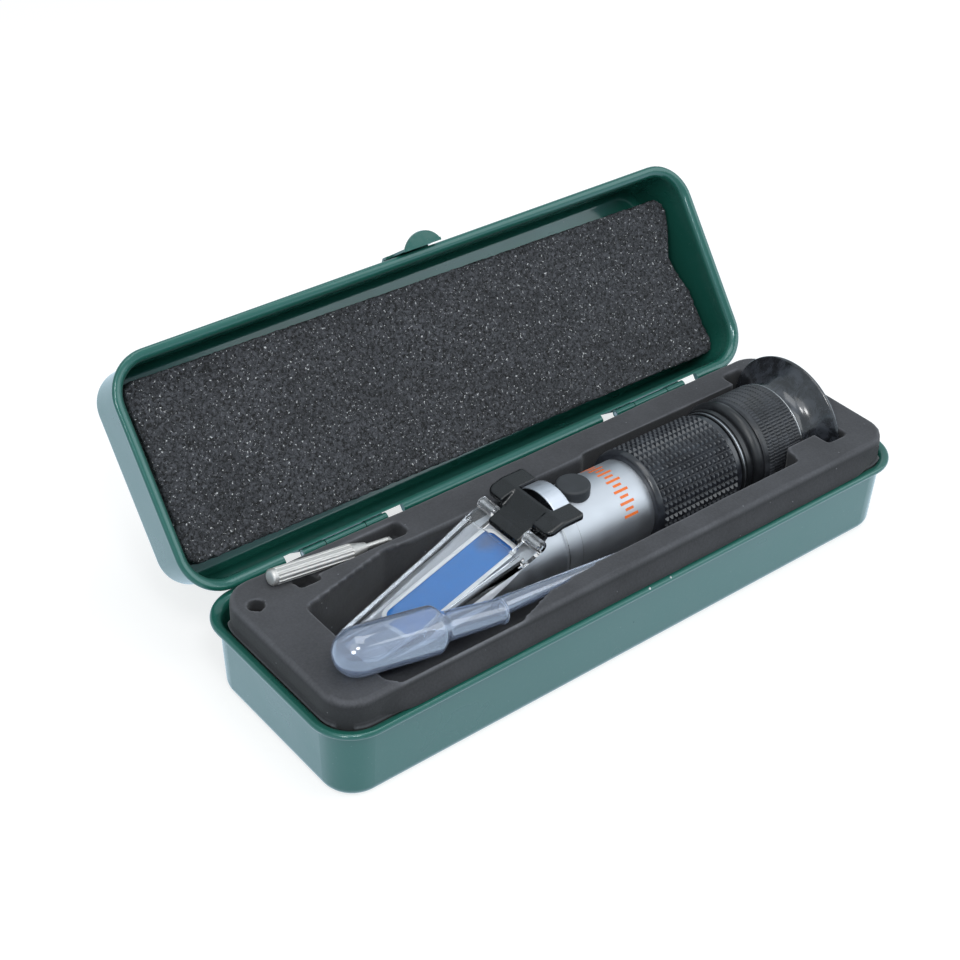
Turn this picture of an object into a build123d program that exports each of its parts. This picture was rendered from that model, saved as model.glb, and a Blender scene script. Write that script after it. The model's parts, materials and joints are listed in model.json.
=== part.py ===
from build123d import *
from math import asin, cos, hypot, radians, sin, tan
import os

# Coolant refractometer in its hinged steel case, with its pipette and screwdriver.
# Millimetres, +Z up. The origin is the centre of the case's bottom face. +X runs
# along the case towards the eyecup, +Y towards the hinge. The lid stands open.

os.makedirs("parts", exist_ok=True)

# Case: two pressed steel trays with an out-turned rolled rim
RIM_LENGTH = 205.0
RIM_WIDTH = 67.4
RIM_CORNER = 12.6
RIM_OVERHANG = 2.35
RIM_THICK = 1.8
RIM_ROUND = 0.85
RIM_INNER_ROUND = 2.3
SHEET = 0.9
BASE_HEIGHT = 24.4
BASE_DRAFT = 1.0
BASE_EDGE = 3.0
LID_DEPTH = 23.2
LID_DRAFT = 0.5
LID_EDGE = 3.0
RIM_GAP = 0.2
LID_OPEN = 126.7

# Tin hinges at the back of the case, in notches of the rims
HINGE_SETBACK = 0.8
HINGE_RISE = 1.3
HINGE_LENGTH = 28.0
HINGE_CENTRES = {"left": -54.0, "right": 60.0}
HINGE_PIN_D = 1.2
HINGE_RUN_GAP = 0.05
KNUCKLE_WALL = 0.6
KNUCKLE_END_SHARE = 0.26
KNUCKLE_GAP = 0.3
LEAF_DROP = 9.5
NOTCH_MARGIN = 5.8

# Spring clasp on the lid's front wall
CLASP_WIDTH = 16.0
CLASP_TONGUE_WIDTH = 13.0
CLASP_SHEET = 0.7
CLASP_FOOT_LOW = 10.5
CLASP_FOOT_HIGH = 16.5
CLASP_BEND_RISE = 6.5
CLASP_STAND_OFF = 0.45
CLASP_REACH = 2.8
CLASP_TAB_LENGTH = 4.3
CLASP_TAB_DROP = 15.0
CLASP_RIVET_D = 2.4
CLASP_RIVET_HEAD = 0.6
CLASP_RIVET_SPACING = 8.0

# Foam in the base
FOAM_GAP = 0.3
FOAM_BACK_GAP = 3.7
FOAM_TOP = 32.0
FOAM_EDGE = 1.2
CAVITY_CLEAR = 0.7
CAVITY_NOSE_CLEAR = 7.4
CAVITY_NOSE_HALF = 7.6
CAVITY_WAIST_Y = -23.0
CAVITY_FLOOR_ROUND = 4.0
SEAT_GAP = 0.3
BLIND_HOLE_D = 4.5
BLIND_HOLE_DEPTH = 8.0
BLIND_HOLE_AT = (-93.4, 15.8)

# Sponge in the lid
SPONGE_THICK = 13.9
SPONGE_LENGTH = 193.0
SPONGE_WIDTH = 51.5
SPONGE_CORNER = 4.0
SPONGE_BACK_ROUND = 2.6
SPONGE_SHIFT = (0.6, 0.6)
SPONGE_SKEW = 0.9

# Refractometer: places along its axis
AXIS_Z = 24.3
NOSE_TIP_X = -76.0
NOSE_TIP_ROUND = 2.5
HOUSING_END_X = -12.0
GRIP_FRONT_X = 19.9
TRIM_FRONT_X = 53.4
COLLAR_FRONT_X = 54.8
COLLAR_WAIST_X = 57.4
COLLAR_REAR_X = 61.1
TUBE_REAR_X = 72.0
FOCUS_REAR_X = 77.7
EYECUP_RIM_X = 86.4

# Refractometer: the barrel's radius, and how far each ring stands off it
TUBE_R = 12.5
TUBE_WALL = 1.5
JOINT_CHAMFER = 0.4
GRIP_THICK = 2.4
STUD_HEIGHT = 0.7
STUD_PITCH = 1.7
STUDS_START = 2.2
TRIM_PROUD = 1.9
COLLAR_PROUD = 2.3
COLLAR_DIP = 0.6
ROLL_PROUD = 3.6
FOCUS_PROUD = 3.3
FOCUS_STEP = 0.4
FOCUS_BEVEL = 0.5
EYECUP_R = 21.3
EYECUP_NECK_PROUD = 1.2
RUN_GAP = 0.3
FIT_GAP = 0.05

# Bevelled measuring face, its prism and the daylight plate over it
BEVEL_SLOPE = 19.65
KNEE_X = -22.0
KNEE_DROP = 5.4
PRISM_WIDTH = 11.4
PRISM_START = 2.2
PRISM_LENGTH = 44.8
PRISM_DEPTH = 7.0
PRISM_TIP_DEPTH = 1.5
PRISM_PROUD = 0.5
LIGHT_WAY_R = 5.0
PLATE_GAP = 0.35
PLATE_THICK = 2.0
PLATE_START = 4.6
PLATE_LENGTH = 50.0
PLATE_WAIST = 12.0
PLATE_ROOT_HALF = 12.0
PLATE_WAIST_HALF = 10.7
PLATE_TIP_HALF = 8.6
PLATE_TIP_CUT = 2.0
RAIL_WIDTH = 1.5
RAIL_HEIGHT = 1.3
RAIL_ROUND = 0.3
PLATE_AXIS_BACK = 0.3
PLATE_AXIS_RISE = 3.6
PLATE_KNUCKLE_R = 1.8
PLATE_KNUCKLE_IN = 6.5
PLATE_KNUCKLE_OUT = 12.6
PLATE_PIN_D = 1.3

# Black saddle block that carries the plate's hinge; heights are over the barrel's top
SADDLE_FRONT_X = -20.6
SADDLE_REAR_X = -8.0
SADDLE_RISE = 3.5
SADDLE_HALF = 13.3
SADDLE_CORNER = 2.6
SEAT_INSET = 2.2
SEAT_SINK = 5.0
EAR_THICK = 2.2
EAR_DROOP = 1.5
EAR_ROUND = 0.8
RAMP_TOP_X = -15.2
RAMP_BEND_X = -19.5
RAMP_BEND_RISE = 0.5
TONGUE_HALF = 6.2
TONGUE_FRONT_X = -25.2
TONGUE_TOP_DROP = 2.2
TONGUE_FOOT_DROP = 3.8
WINDOW_FRONT_X = -14.2
WINDOW_HALF = 7.0
WINDOW_DEPTH = 1.7
LEAF_WIDTH = 4.4
LEAF_SHEET = 0.5
LEAF_RISE = 1.3

# Calibration screw under its rubber cap; heights are over the barrel's top
SCREW_X = -0.5
SCREW_D = 2.8
SCREW_LENGTH = 6.0
SCREW_SINK = 0.3
SLOT_WIDTH = 0.5
SLOT_DEPTH = 0.7
BUSH_D = 6.0
BUSH_RISE = 0.8
BUSH_SINK = 0.8
CAP_D = 9.8
CAP_RISE = 2.6
CAP_ROOF = 1.3
CAP_ROUND = 0.7
CAP_SKIRT = 1.6

# Optics inside the barrel: places along the axis and sizes
OBJECTIVE_X = 6.0
OBJECTIVE_THICK = 1.6
OBJECTIVE_BULGE = 1.4
OBJECTIVE_RING_X = (10.2, 12.2)
OBJECTIVE_RING_R = 8.0
RETICLE_X = (34.0, 35.6)
RETICLE_RING_X = (35.7, 38.2)
RETICLE_RING_R = 8.5
CELL_X = (47.0, 70.0)
CELL_WALL = 1.6
EYE_LENS_X = 63.0
EYE_LENS_THICK = 2.0
EYE_LENS_BULGE = 2.2
RETAINER_X = (67.4, 69.4)
RETAINER_R = 6.6
BIMETAL_RING_X = (2.5, 4.0)
BIMETAL_RING_WIDTH = 3.0
BIMETAL_WIDTH = 5.0
BIMETAL_SHEET = 0.6
BIMETAL_REACH = 3.5

# Pipette: bulb, tapering neck and drawn stem, bent a little in use
PIPETTE_BULB_R = 6.4
PIPETTE_NECK_R = 3.9
PIPETTE_NECK_END_R = 3.3
PIPETTE_STEM_R = 2.7
PIPETTE_TIP_R = 0.9
PIPETTE_WALL = 0.5
PIPETTE_BULB_LENGTH = 32.0
PIPETTE_SHOULDER = 4.4
STEM_TAPER = 1.15
BULB_CENTRE = Vector(-87.4, -20.3, 38.6)
STEM_STEP = Vector(-45.3, -24.9, 33.5)
STEM_BENDS = [Vector(-26.0, -21.4, 30.5), Vector(-4.1, -20.4, 27.6), Vector(16.0, -19.9, 25.0)]

# Screwdriver lying half sunk in its groove
DRIVER_D = 4.6
DRIVER_LENGTH = 30.5
DRIVER_NOSE = 5.0
DRIVER_SOCKET = 3.0
DRIVER_CAP_ROUND = 0.7
DRIVER_BLADE_D = 1.6
DRIVER_BLADE_LENGTH = 8.5
DRIVER_TIP = 1.2
DRIVER_TIP_HALF = 0.25
DRIVER_FLUTES = 12
FLUTE_R = 0.55
FLUTE_START = 1.6
DRIVER_END = Vector(-86.4, 20.2, 34.6)
DRIVER_DROP = 7.6
GROOVE_WIDTH = 5.4
GROOVE_START_GAP = 1.5
GROOVE_END_X = -43.7
FINGER_X = (6.2, 12.8)
FINGER_WIDTH = 5.6
FINGER_DEPTH = 6.0

rim_half_y = RIM_WIDTH / 2
wall_half_y = rim_half_y - RIM_OVERHANG
hinge_y = rim_half_y - HINGE_SETBACK
hinge_z = BASE_HEIGHT + HINGE_RISE
lid_rim_z = BASE_HEIGHT + RIM_GAP
knuckle_r = HINGE_PIN_D / 2 + HINGE_RUN_GAP + KNUCKLE_WALL
tube_bore = TUBE_R - TUBE_WALL
barrel_top = AXIS_Z + TUBE_R
grip_r = TUBE_R + GRIP_THICK
roll_r = TUBE_R + ROLL_PROUD
neck_r = TUBE_R + EYECUP_NECK_PROUD
knee_z = barrel_top - KNEE_DROP
plate_axis_x = KNEE_X - PLATE_AXIS_BACK
plate_axis_z = knee_z + PLATE_AXIS_RISE
saddle_top = barrel_top + SADDLE_RISE
bush_top = barrel_top + BUSH_RISE
screw_top = bush_top - SCREW_SINK
cap_top = barrel_top + CAP_RISE
cell_r = tube_bore - RUN_GAP


def open_lid(shape):
    """Turn a shape drawn on the closed lid to the open lid's place."""
    return shape.rotate(Axis((0, hinge_y, hinge_z), (1, 0, 0)), -LID_OPEN)


def outline(inset, z, back=0.0):
    """Outline of the case at a height, drawn in by inset, and by back more at the back."""
    width = RIM_WIDTH - 2 * inset - back
    shape = RectangleRounded(RIM_LENGTH - 2 * inset, width, RIM_CORNER - inset)
    return Pos(0, -back / 2, z) * shape


def block(x0, x1, y0, y1, z0, z1):
    """Box between two corners."""
    return Pos((x0 + x1) / 2, (y0 + y1) / 2, (z0 + z1) / 2) * Box(x1 - x0, y1 - y0, z1 - z0)


def turned(points, height=AXIS_Z):
    """Solid of revolution about the instrument's axis, from (x, radius) points."""
    face = make_face(Polyline(*[(x, r, 0) for x, r in points], close=True))
    return Pos(0, 0, height) * revolve(face, Axis.X)


def rod(start, end, radius):
    """Round rod between two points."""
    run = end - start
    return Plane(origin=start, z_dir=run) * extrude(Circle(radius), run.length)


def cross_pin(radius, length):
    """Round bar along Y at the daylight plate's hinge axis."""
    return Pos(plate_axis_x, 0, plate_axis_z) * Rot(90, 0, 0) * Cylinder(radius, length)


def rim_inset(point):
    """How far a point lies in from the rim's edge."""
    across = max(abs(point.X) - (RIM_LENGTH / 2 - RIM_CORNER), 0)
    up = max(abs(point.Y) - (RIM_WIDTH / 2 - RIM_CORNER), 0)
    return RIM_CORNER - hypot(across, up)


def pressed_tray(depth, draft, edge):
    """Deep-drawn tray with its rim plane at z = 0 and its floor below."""
    top = outline(RIM_OVERHANG, 0)
    bottom = outline(RIM_OVERHANG + draft, -depth)
    body = loft([bottom, top])
    body = fillet(body.edges().group_by(Axis.Z)[0], edge)
    rim = extrude(outline(0, -RIM_THICK), RIM_THICK)
    rim = fillet(rim.edges().filter_by(Plane.XY), RIM_ROUND)
    inner_top = outline(RIM_OVERHANG + SHEET, 0)
    inner_bottom = outline(RIM_OVERHANG + SHEET + draft, -depth + SHEET)
    hollow = loft([inner_bottom, inner_top])
    hollow = fillet(hollow.edges().group_by(Axis.Z)[0], edge - SHEET)
    tray = body + rim - hollow
    inner = [e for e in tray.edges() if (e @ 0.5).Z > -0.01 and rim_inset(e @ 0.5) > RIM_OVERHANG]
    tray = fillet(inner, RIM_INNER_ROUND)
    for centre in HINGE_CENTRES.values():
        reach = HINGE_LENGTH / 2 + NOTCH_MARGIN
        tray -= block(centre - reach, centre + reach, wall_half_y, rim_half_y + 1, -RIM_THICK - 1, 1)
    return tray


base_tray = Pos(0, 0, BASE_HEIGHT) * pressed_tray(BASE_HEIGHT, BASE_DRAFT, BASE_EDGE)
lid_shell = pressed_tray(LID_DEPTH, LID_DRAFT, LID_EDGE).mirror(Plane.XY)
lid_tray = open_lid(Pos(0, 0, lid_rim_z) * lid_shell)


def hinge_leaf(centre, on_lid):
    """Leaf plate on the outside of the back wall, curled round the pin."""
    end = HINGE_LENGTH * KNUCKLE_END_SHARE
    half = HINGE_LENGTH / 2
    middle = half - end
    clear = knuckle_r + RUN_GAP
    up = 1 if on_lid else -1
    near = hinge_y - knuckle_r
    far = hinge_z + up * (HINGE_RISE + LEAF_DROP)
    low_z = min(hinge_z, far)
    high_z = max(hinge_z, far)
    leaf = block(centre - half, centre + half, near, near + KNUCKLE_WALL, low_z, high_z)
    inner = middle - KNUCKLE_GAP / 2
    outer = middle + KNUCKLE_GAP / 2
    if on_lid:
        spans = [(-inner, inner)]
        gaps = [(-half - 1, -inner), (inner, half + 1)]
    else:
        spans = [(-half, -outer), (outer, half)]
        gaps = [(-outer, outer)]
    for low, high in gaps:
        leaf -= block(centre + low, centre + high, near - 1, near + 3, hinge_z - clear, hinge_z + clear)
    for low, high in spans:
        start = Vector(centre + low, hinge_y, hinge_z)
        leaf += rod(start, Vector(centre + high, hinge_y, hinge_z), knuckle_r)
    start = Vector(centre - half - 1, hinge_y, hinge_z)
    end_point = Vector(centre + half + 1, hinge_y, hinge_z)
    return leaf - rod(start, end_point, HINGE_PIN_D / 2 + HINGE_RUN_GAP)


def hinge_pin(centre):
    """Pin through the three knuckles of one hinge."""
    start = Vector(centre - HINGE_LENGTH / 2, hinge_y, hinge_z)
    end = Vector(centre + HINGE_LENGTH / 2, hinge_y, hinge_z)
    return rod(start, end, HINGE_PIN_D / 2)


def clasp_foot_y():
    """Y of the lid's front wall where the clasp's foot lies on it."""
    return -(wall_half_y - CLASP_FOOT_LOW * LID_DRAFT / LID_DEPTH)


def clasp():
    """Spring clasp: a riveted foot, a strip over the rims and a half-round finger tab."""
    foot_y = clasp_foot_y()
    strip_y = -(rim_half_y + CLASP_STAND_OFF)
    foot_low = lid_rim_z + CLASP_FOOT_LOW
    foot_high = lid_rim_z + CLASP_FOOT_HIGH
    bend = lid_rim_z + CLASP_BEND_RISE
    tip = lid_rim_z - CLASP_REACH
    line = Polyline(
        (0, foot_y, foot_high), (0, foot_y, foot_low), (0, strip_y, bend),
        (0, strip_y, tip - CLASP_SHEET), (0, strip_y - CLASP_SHEET, tip - CLASP_SHEET),
        (0, strip_y - CLASP_SHEET, bend + CLASP_SHEET / 2),
        (0, foot_y - CLASP_SHEET, foot_low + CLASP_SHEET / 2), (0, foot_y - CLASP_SHEET, foot_high),
        close=True)
    strip = extrude(make_face(line), CLASP_WIDTH / 2, both=True)
    tab_half = CLASP_TONGUE_WIDTH / 2
    for sign in (-1, 1):
        near = min(sign * tab_half, sign * CLASP_WIDTH)
        far = max(sign * tab_half, sign * CLASP_WIDTH)
        strip -= block(near, far, strip_y - 3, strip_y + 3, tip - 2, bend - 2 * CLASP_SHEET)
    drop = radians(CLASP_TAB_DROP)
    place = Plane(origin=(0, strip_y, tip), x_dir=(1, 0, 0), z_dir=(0, sin(drop), -cos(drop)))
    edge = ThreePointArc((-tab_half, 0), (0, CLASP_TAB_LENGTH), (tab_half, 0))
    half_round = make_face([edge, Line((tab_half, 0), (-tab_half, 0))])
    return strip + place.location * extrude(half_round, CLASP_SHEET)


def clasp_rivets():
    """Two round-headed rivets on the clasp's foot."""
    height = lid_rim_z + (CLASP_FOOT_LOW + CLASP_FOOT_HIGH) / 2
    rivets = []
    for sign in (-1, 1):
        centre = Vector(sign * CLASP_RIVET_SPACING / 2, clasp_foot_y() - CLASP_SHEET, height)
        head = rod(centre, centre - Vector(0, CLASP_RIVET_HEAD, 0), CLASP_RIVET_D / 2)
        rivets.append(fillet(head.edges().group_by(Axis.Y)[0], CLASP_RIVET_HEAD * 0.6))
    return Compound(children=rivets)


def bulb_shape(grow):
    """Bulb and tapering neck of the pipette, with its walls moved out by grow."""
    along = (STEM_STEP - BULB_CENTRE).normalized()
    run = (STEM_STEP - BULB_CENTRE).length
    bulb = PIPETTE_BULB_R + grow
    neck = PIPETTE_NECK_R + grow
    neck_end = PIPETTE_NECK_END_R + grow
    end = run + grow
    shoulder = PIPETTE_BULB_LENGTH - PIPETTE_BULB_R - PIPETTE_SHOULDER
    neck_start = shoulder + PIPETTE_SHOULDER
    round_end = sin(radians(45)) * bulb
    profile = make_face([
        ThreePointArc((-bulb, 0), (-round_end, round_end), (0, bulb)),
        Line((0, bulb), (shoulder, bulb)),
        Spline((shoulder, bulb), (neck_start, neck), tangents=[(1, 0), (0.9, -0.35)]),
        Line((neck_start, neck), (end, neck_end)),
        Line((end, neck_end), (end, 0)),
        Line((end, 0), (-bulb, 0)),
    ])
    body = revolve(profile, Axis.X)
    return Plane(origin=BULB_CENTRE, x_dir=along, z_dir=along.cross(Vector(0, 0, 1))).location * body


def stem_shape(grow):
    """Drawn stem of the pipette, through its bends to the open tip."""
    root = STEM_STEP - (STEM_STEP - BULB_CENTRE).normalized() * PIPETTE_WALL
    path = Spline(root, *STEM_BENDS, tangents=[(1, 0.1, -0.15), (1, 0.02, -0.12)])
    sections = []
    steps = 6
    for n in range(steps + 1):
        t = n / steps
        r = PIPETTE_TIP_R + (PIPETTE_STEM_R - PIPETTE_TIP_R) * (1 - t) ** STEM_TAPER + grow
        heading = path % t
        side = heading.cross(Vector(0, 0, 1))
        sections.append(Plane(origin=path @ t, x_dir=side, z_dir=heading) * Circle(r))
    return loft(sections)


def pipette():
    """One-piece blown pipette, hollow to the end of its neck."""
    return bulb_shape(0) + stem_shape(0) - bulb_shape(-PIPETTE_WALL)


driver_dir = Vector(cos(radians(DRIVER_DROP)), 0, -sin(radians(DRIVER_DROP)))


def driver_plane():
    """Plane at the screwdriver's cap end, its normal along the tool."""
    return Plane(origin=DRIVER_END, x_dir=(0, 1, 0), z_dir=driver_dir)


def screwdriver_handle():
    """Fluted turned handle with a domed cap and a tapered nose."""
    r = DRIVER_D / 2
    grip_end = DRIVER_LENGTH - DRIVER_NOSE
    body = extrude(Circle(r), grip_end)
    body = fillet(body.edges().group_by(Axis.Z)[0], DRIVER_CAP_ROUND)
    nose_r = DRIVER_BLADE_D / 2 + PIPETTE_WALL
    body += Pos(0, 0, grip_end) * loft([Circle(r), Pos(0, 0, DRIVER_NOSE) * Circle(nose_r)])
    for n in range(DRIVER_FLUTES):
        flute = Pos(r + FLUTE_R / 2, 0, FLUTE_START) * extrude(Circle(FLUTE_R), grip_end - FLUTE_START)
        body -= flute.rotate(Axis.Z, 360 / DRIVER_FLUTES * n)
    socket = Pos(0, 0, DRIVER_LENGTH - DRIVER_SOCKET) * extrude(Circle(DRIVER_BLADE_D / 2), DRIVER_SOCKET + 1)
    return driver_plane().location * (body - socket)


def screwdriver_blade():
    """Round blade with a flat ground tip, set in the handle."""
    r = DRIVER_BLADE_D / 2
    length = DRIVER_BLADE_LENGTH + DRIVER_SOCKET
    blade = Pos(0, 0, DRIVER_LENGTH - DRIVER_SOCKET) * extrude(Circle(r), length)
    tip = DRIVER_LENGTH + DRIVER_BLADE_LENGTH
    for sign in (-1, 1):
        blade -= Pos(0, sign * (r + DRIVER_TIP_HALF), tip) * Box(4 * r, 2 * r, 2 * DRIVER_TIP)
    return driver_plane().location * blade


def cavity():
    """Recess that holds the instrument and the pipette, cut in steps."""
    tube = TUBE_R + CAVITY_CLEAR
    ring_half = roll_r + CAVITY_CLEAR
    cup = EYECUP_R + CAVITY_CLEAR
    left = NOSE_TIP_X - CAVITY_NOSE_CLEAR
    front = STEM_STEP.Y - PIPETTE_NECK_R - 0.4
    cup_in = FOCUS_REAR_X + 2.0
    cup_out = EYECUP_RIM_X + 1.0
    side = tube + 0.6
    wide = tube + 2.2
    plan = make_face(Polyline(
        (left, CAVITY_NOSE_HALF), (-53.6, side + 1.0), (-45.0, side), (-8.0, side), (-2.0, wide),
        (GRIP_FRONT_X - 3.0, wide), (GRIP_FRONT_X - 1.5, ring_half), (cup_in, ring_half),
        (cup_in, -ring_half), (67.5, -ring_half), (66.0, CAVITY_WAIST_Y), (-10.0, CAVITY_WAIST_Y),
        (-30.0, CAVITY_WAIST_Y - 1.7), (-42.0, front), (left, front), close=True))
    deep = AXIS_Z - TUBE_R - SEAT_GAP
    recess = extrude(Pos(0, 0, deep) * plan, FOAM_TOP - deep + 1)
    corner = recess.edges().filter_by(Axis.Z).sort_by(lambda e: e.center().X + e.center().Y)[0]
    recess = fillet(corner, CAVITY_FLOOR_ROUND)
    grip_floor = AXIS_Z - grip_r - SEAT_GAP
    roll_floor = AXIS_Z - roll_r - SEAT_GAP
    cup_floor = AXIS_Z - EYECUP_R - SEAT_GAP
    recess += block(GRIP_FRONT_X - 1.0, COLLAR_FRONT_X, -ring_half, ring_half, grip_floor, FOAM_TOP)
    recess += block(COLLAR_FRONT_X - 0.5, cup_in, -ring_half, ring_half, roll_floor, FOAM_TOP)
    recess += block(cup_in - 0.2, cup_out, -cup, cup, cup_floor, FOAM_TOP + 1)
    return recess


def driver_groove():
    """Sloping groove under the screwdriver, with a finger notch beside it."""
    low = DRIVER_END.Z - DRIVER_D / 2 - SEAT_GAP
    start_x = DRIVER_END.X - GROOVE_START_GAP
    drop = tan(radians(DRIVER_DROP))
    y = DRIVER_END.Y
    high = FOAM_TOP + 3
    line = Polyline(
        (start_x, y, low + GROOVE_START_GAP * drop), (GROOVE_END_X, y, low - (GROOVE_END_X - start_x) * drop),
        (GROOVE_END_X, y, high), (start_x, y, high), close=True)
    groove = extrude(make_face(line), GROOVE_WIDTH / 2, both=True)
    near = DRIVER_END.X + FINGER_X[0]
    far = DRIVER_END.X + FINGER_X[1]
    return groove + block(near, far, y - FINGER_WIDTH, y, FOAM_TOP - FINGER_DEPTH, FOAM_TOP + 1)


def base_foam():
    """Foam block that fills the base, short of its back wall, and stands proud of its rim."""
    inset = RIM_OVERHANG + SHEET + FOAM_GAP
    floor = SHEET + FOAM_GAP
    bottom = outline(inset + BASE_DRAFT, floor, FOAM_BACK_GAP)
    low = loft([bottom, outline(inset, BASE_HEIGHT, FOAM_BACK_GAP)])
    low = fillet(low.edges().group_by(Axis.Z)[0], BASE_EDGE - SHEET)
    high = extrude(outline(inset, BASE_HEIGHT, FOAM_BACK_GAP), FOAM_TOP - BASE_HEIGHT)
    high = fillet(high.edges().group_by(Axis.Z)[-1], FOAM_EDGE)
    foam = low + high - cavity() - driver_groove()
    hole = extrude(Circle(BLIND_HOLE_D / 2), BLIND_HOLE_DEPTH + 1)
    foam -= Pos(*BLIND_HOLE_AT, FOAM_TOP - BLIND_HOLE_DEPTH) * hole
    return foam - bulb_shape(SEAT_GAP)


def lid_sponge():
    """Thick sponge glued in the lid, a little askew."""
    plan = RectangleRounded(SPONGE_LENGTH, SPONGE_WIDTH, SPONGE_CORNER)
    top = lid_rim_z + LID_DEPTH - SHEET
    place = Pos(*SPONGE_SHIFT, top - SPONGE_THICK) * Rot(0, 0, SPONGE_SKEW)
    sponge = extrude(plan, SPONGE_THICK)
    sponge = fillet(sponge.edges().group_by(Axis.Z)[-1], SPONGE_BACK_ROUND)
    return place * sponge


def on_bevel(shape):
    """Place a shape drawn flat, with X down the slope from the knee, on the bevelled face."""
    slope = radians(BEVEL_SLOPE)
    down = Vector(-cos(slope), 0, -sin(slope))
    up = Vector(-sin(slope), 0, cos(slope))
    return Plane(origin=(KNEE_X, 0, knee_z), x_dir=down, z_dir=up).location * shape


def prism_pocket(grow):
    """Prism's own block, drawn flat, with its sides moved out by grow."""
    start = PRISM_START - grow
    end = PRISM_START + PRISM_LENGTH + grow
    face = make_face(Polyline(
        (start, 0, PRISM_PROUD), (end, 0, PRISM_PROUD), (end, 0, -PRISM_TIP_DEPTH - grow),
        (start, 0, -PRISM_DEPTH - grow), close=True))
    return extrude(face, PRISM_WIDTH / 2 + grow, both=True)


def prism_housing():
    """Cast nose: the barrel's round cut to the bevel, with the prism's seat and light way."""
    bite = 0.3 * NOSE_TIP_ROUND
    barrel = turned([
        (NOSE_TIP_X, 0), (NOSE_TIP_X, TUBE_R - NOSE_TIP_ROUND), (NOSE_TIP_X + bite, TUBE_R - bite),
        (NOSE_TIP_X + NOSE_TIP_ROUND, TUBE_R), (HOUSING_END_X - JOINT_CHAMFER, TUBE_R),
        (HOUSING_END_X, TUBE_R - JOINT_CHAMFER), (HOUSING_END_X, 0)])
    housing = barrel - on_bevel(block(-40, 80, -30, 30, 0, 40))
    housing -= on_bevel(prism_pocket(FIT_GAP))
    front = KNEE_X - PRISM_START - 2
    rear = HOUSING_END_X + 1
    return housing - turned([(front, 0), (front, LIGHT_WAY_R), (rear, LIGHT_WAY_R), (rear, 0)])


def plate_plan(inset, start, tip):
    """Plan of the daylight plate, from start to tip down the slope, drawn in by inset."""
    waist = PLATE_START + PLATE_WAIST
    tip_half = PLATE_TIP_HALF - inset
    half = [(start, PLATE_ROOT_HALF - inset), (waist, PLATE_WAIST_HALF - inset),
            (tip - PLATE_TIP_CUT, tip_half), (tip, tip_half - PLATE_TIP_CUT)]
    return make_face(Polyline(*half, *[(x, -y) for x, y in reversed(half)], close=True))


def daylight_plate():
    """Clear cover plate with raised side rails and two hinge knuckles."""
    low = PRISM_PROUD + PLATE_GAP
    high = low + PLATE_THICK
    tip = PLATE_START + PLATE_LENGTH
    plate = extrude(Pos(0, 0, low) * plate_plan(0, PLATE_START, tip), PLATE_THICK + RAIL_HEIGHT)
    well = plate_plan(RAIL_WIDTH, PLATE_START - 5, tip - RAIL_WIDTH)
    plate -= extrude(Pos(0, 0, high) * well, RAIL_HEIGHT + 1)
    plate = on_bevel(fillet(plate.edges().group_by(Axis.Z)[-1], RAIL_ROUND))
    for sign in (-1, 1):
        near = min(sign * PLATE_KNUCKLE_IN, sign * PLATE_KNUCKLE_OUT)
        far = max(sign * PLATE_KNUCKLE_IN, sign * PLATE_KNUCKLE_OUT)
        plate += on_bevel(block(0.0, PLATE_START + 1, near, far, low + 0.7, high + 0.3))
        start = Vector(plate_axis_x, near, plate_axis_z)
        plate += rod(start, Vector(plate_axis_x, far, plate_axis_z), PLATE_KNUCKLE_R)
    return plate - cross_pin(PLATE_PIN_D / 2 + FIT_GAP, 2 * PLATE_KNUCKLE_OUT + 2)


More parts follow.
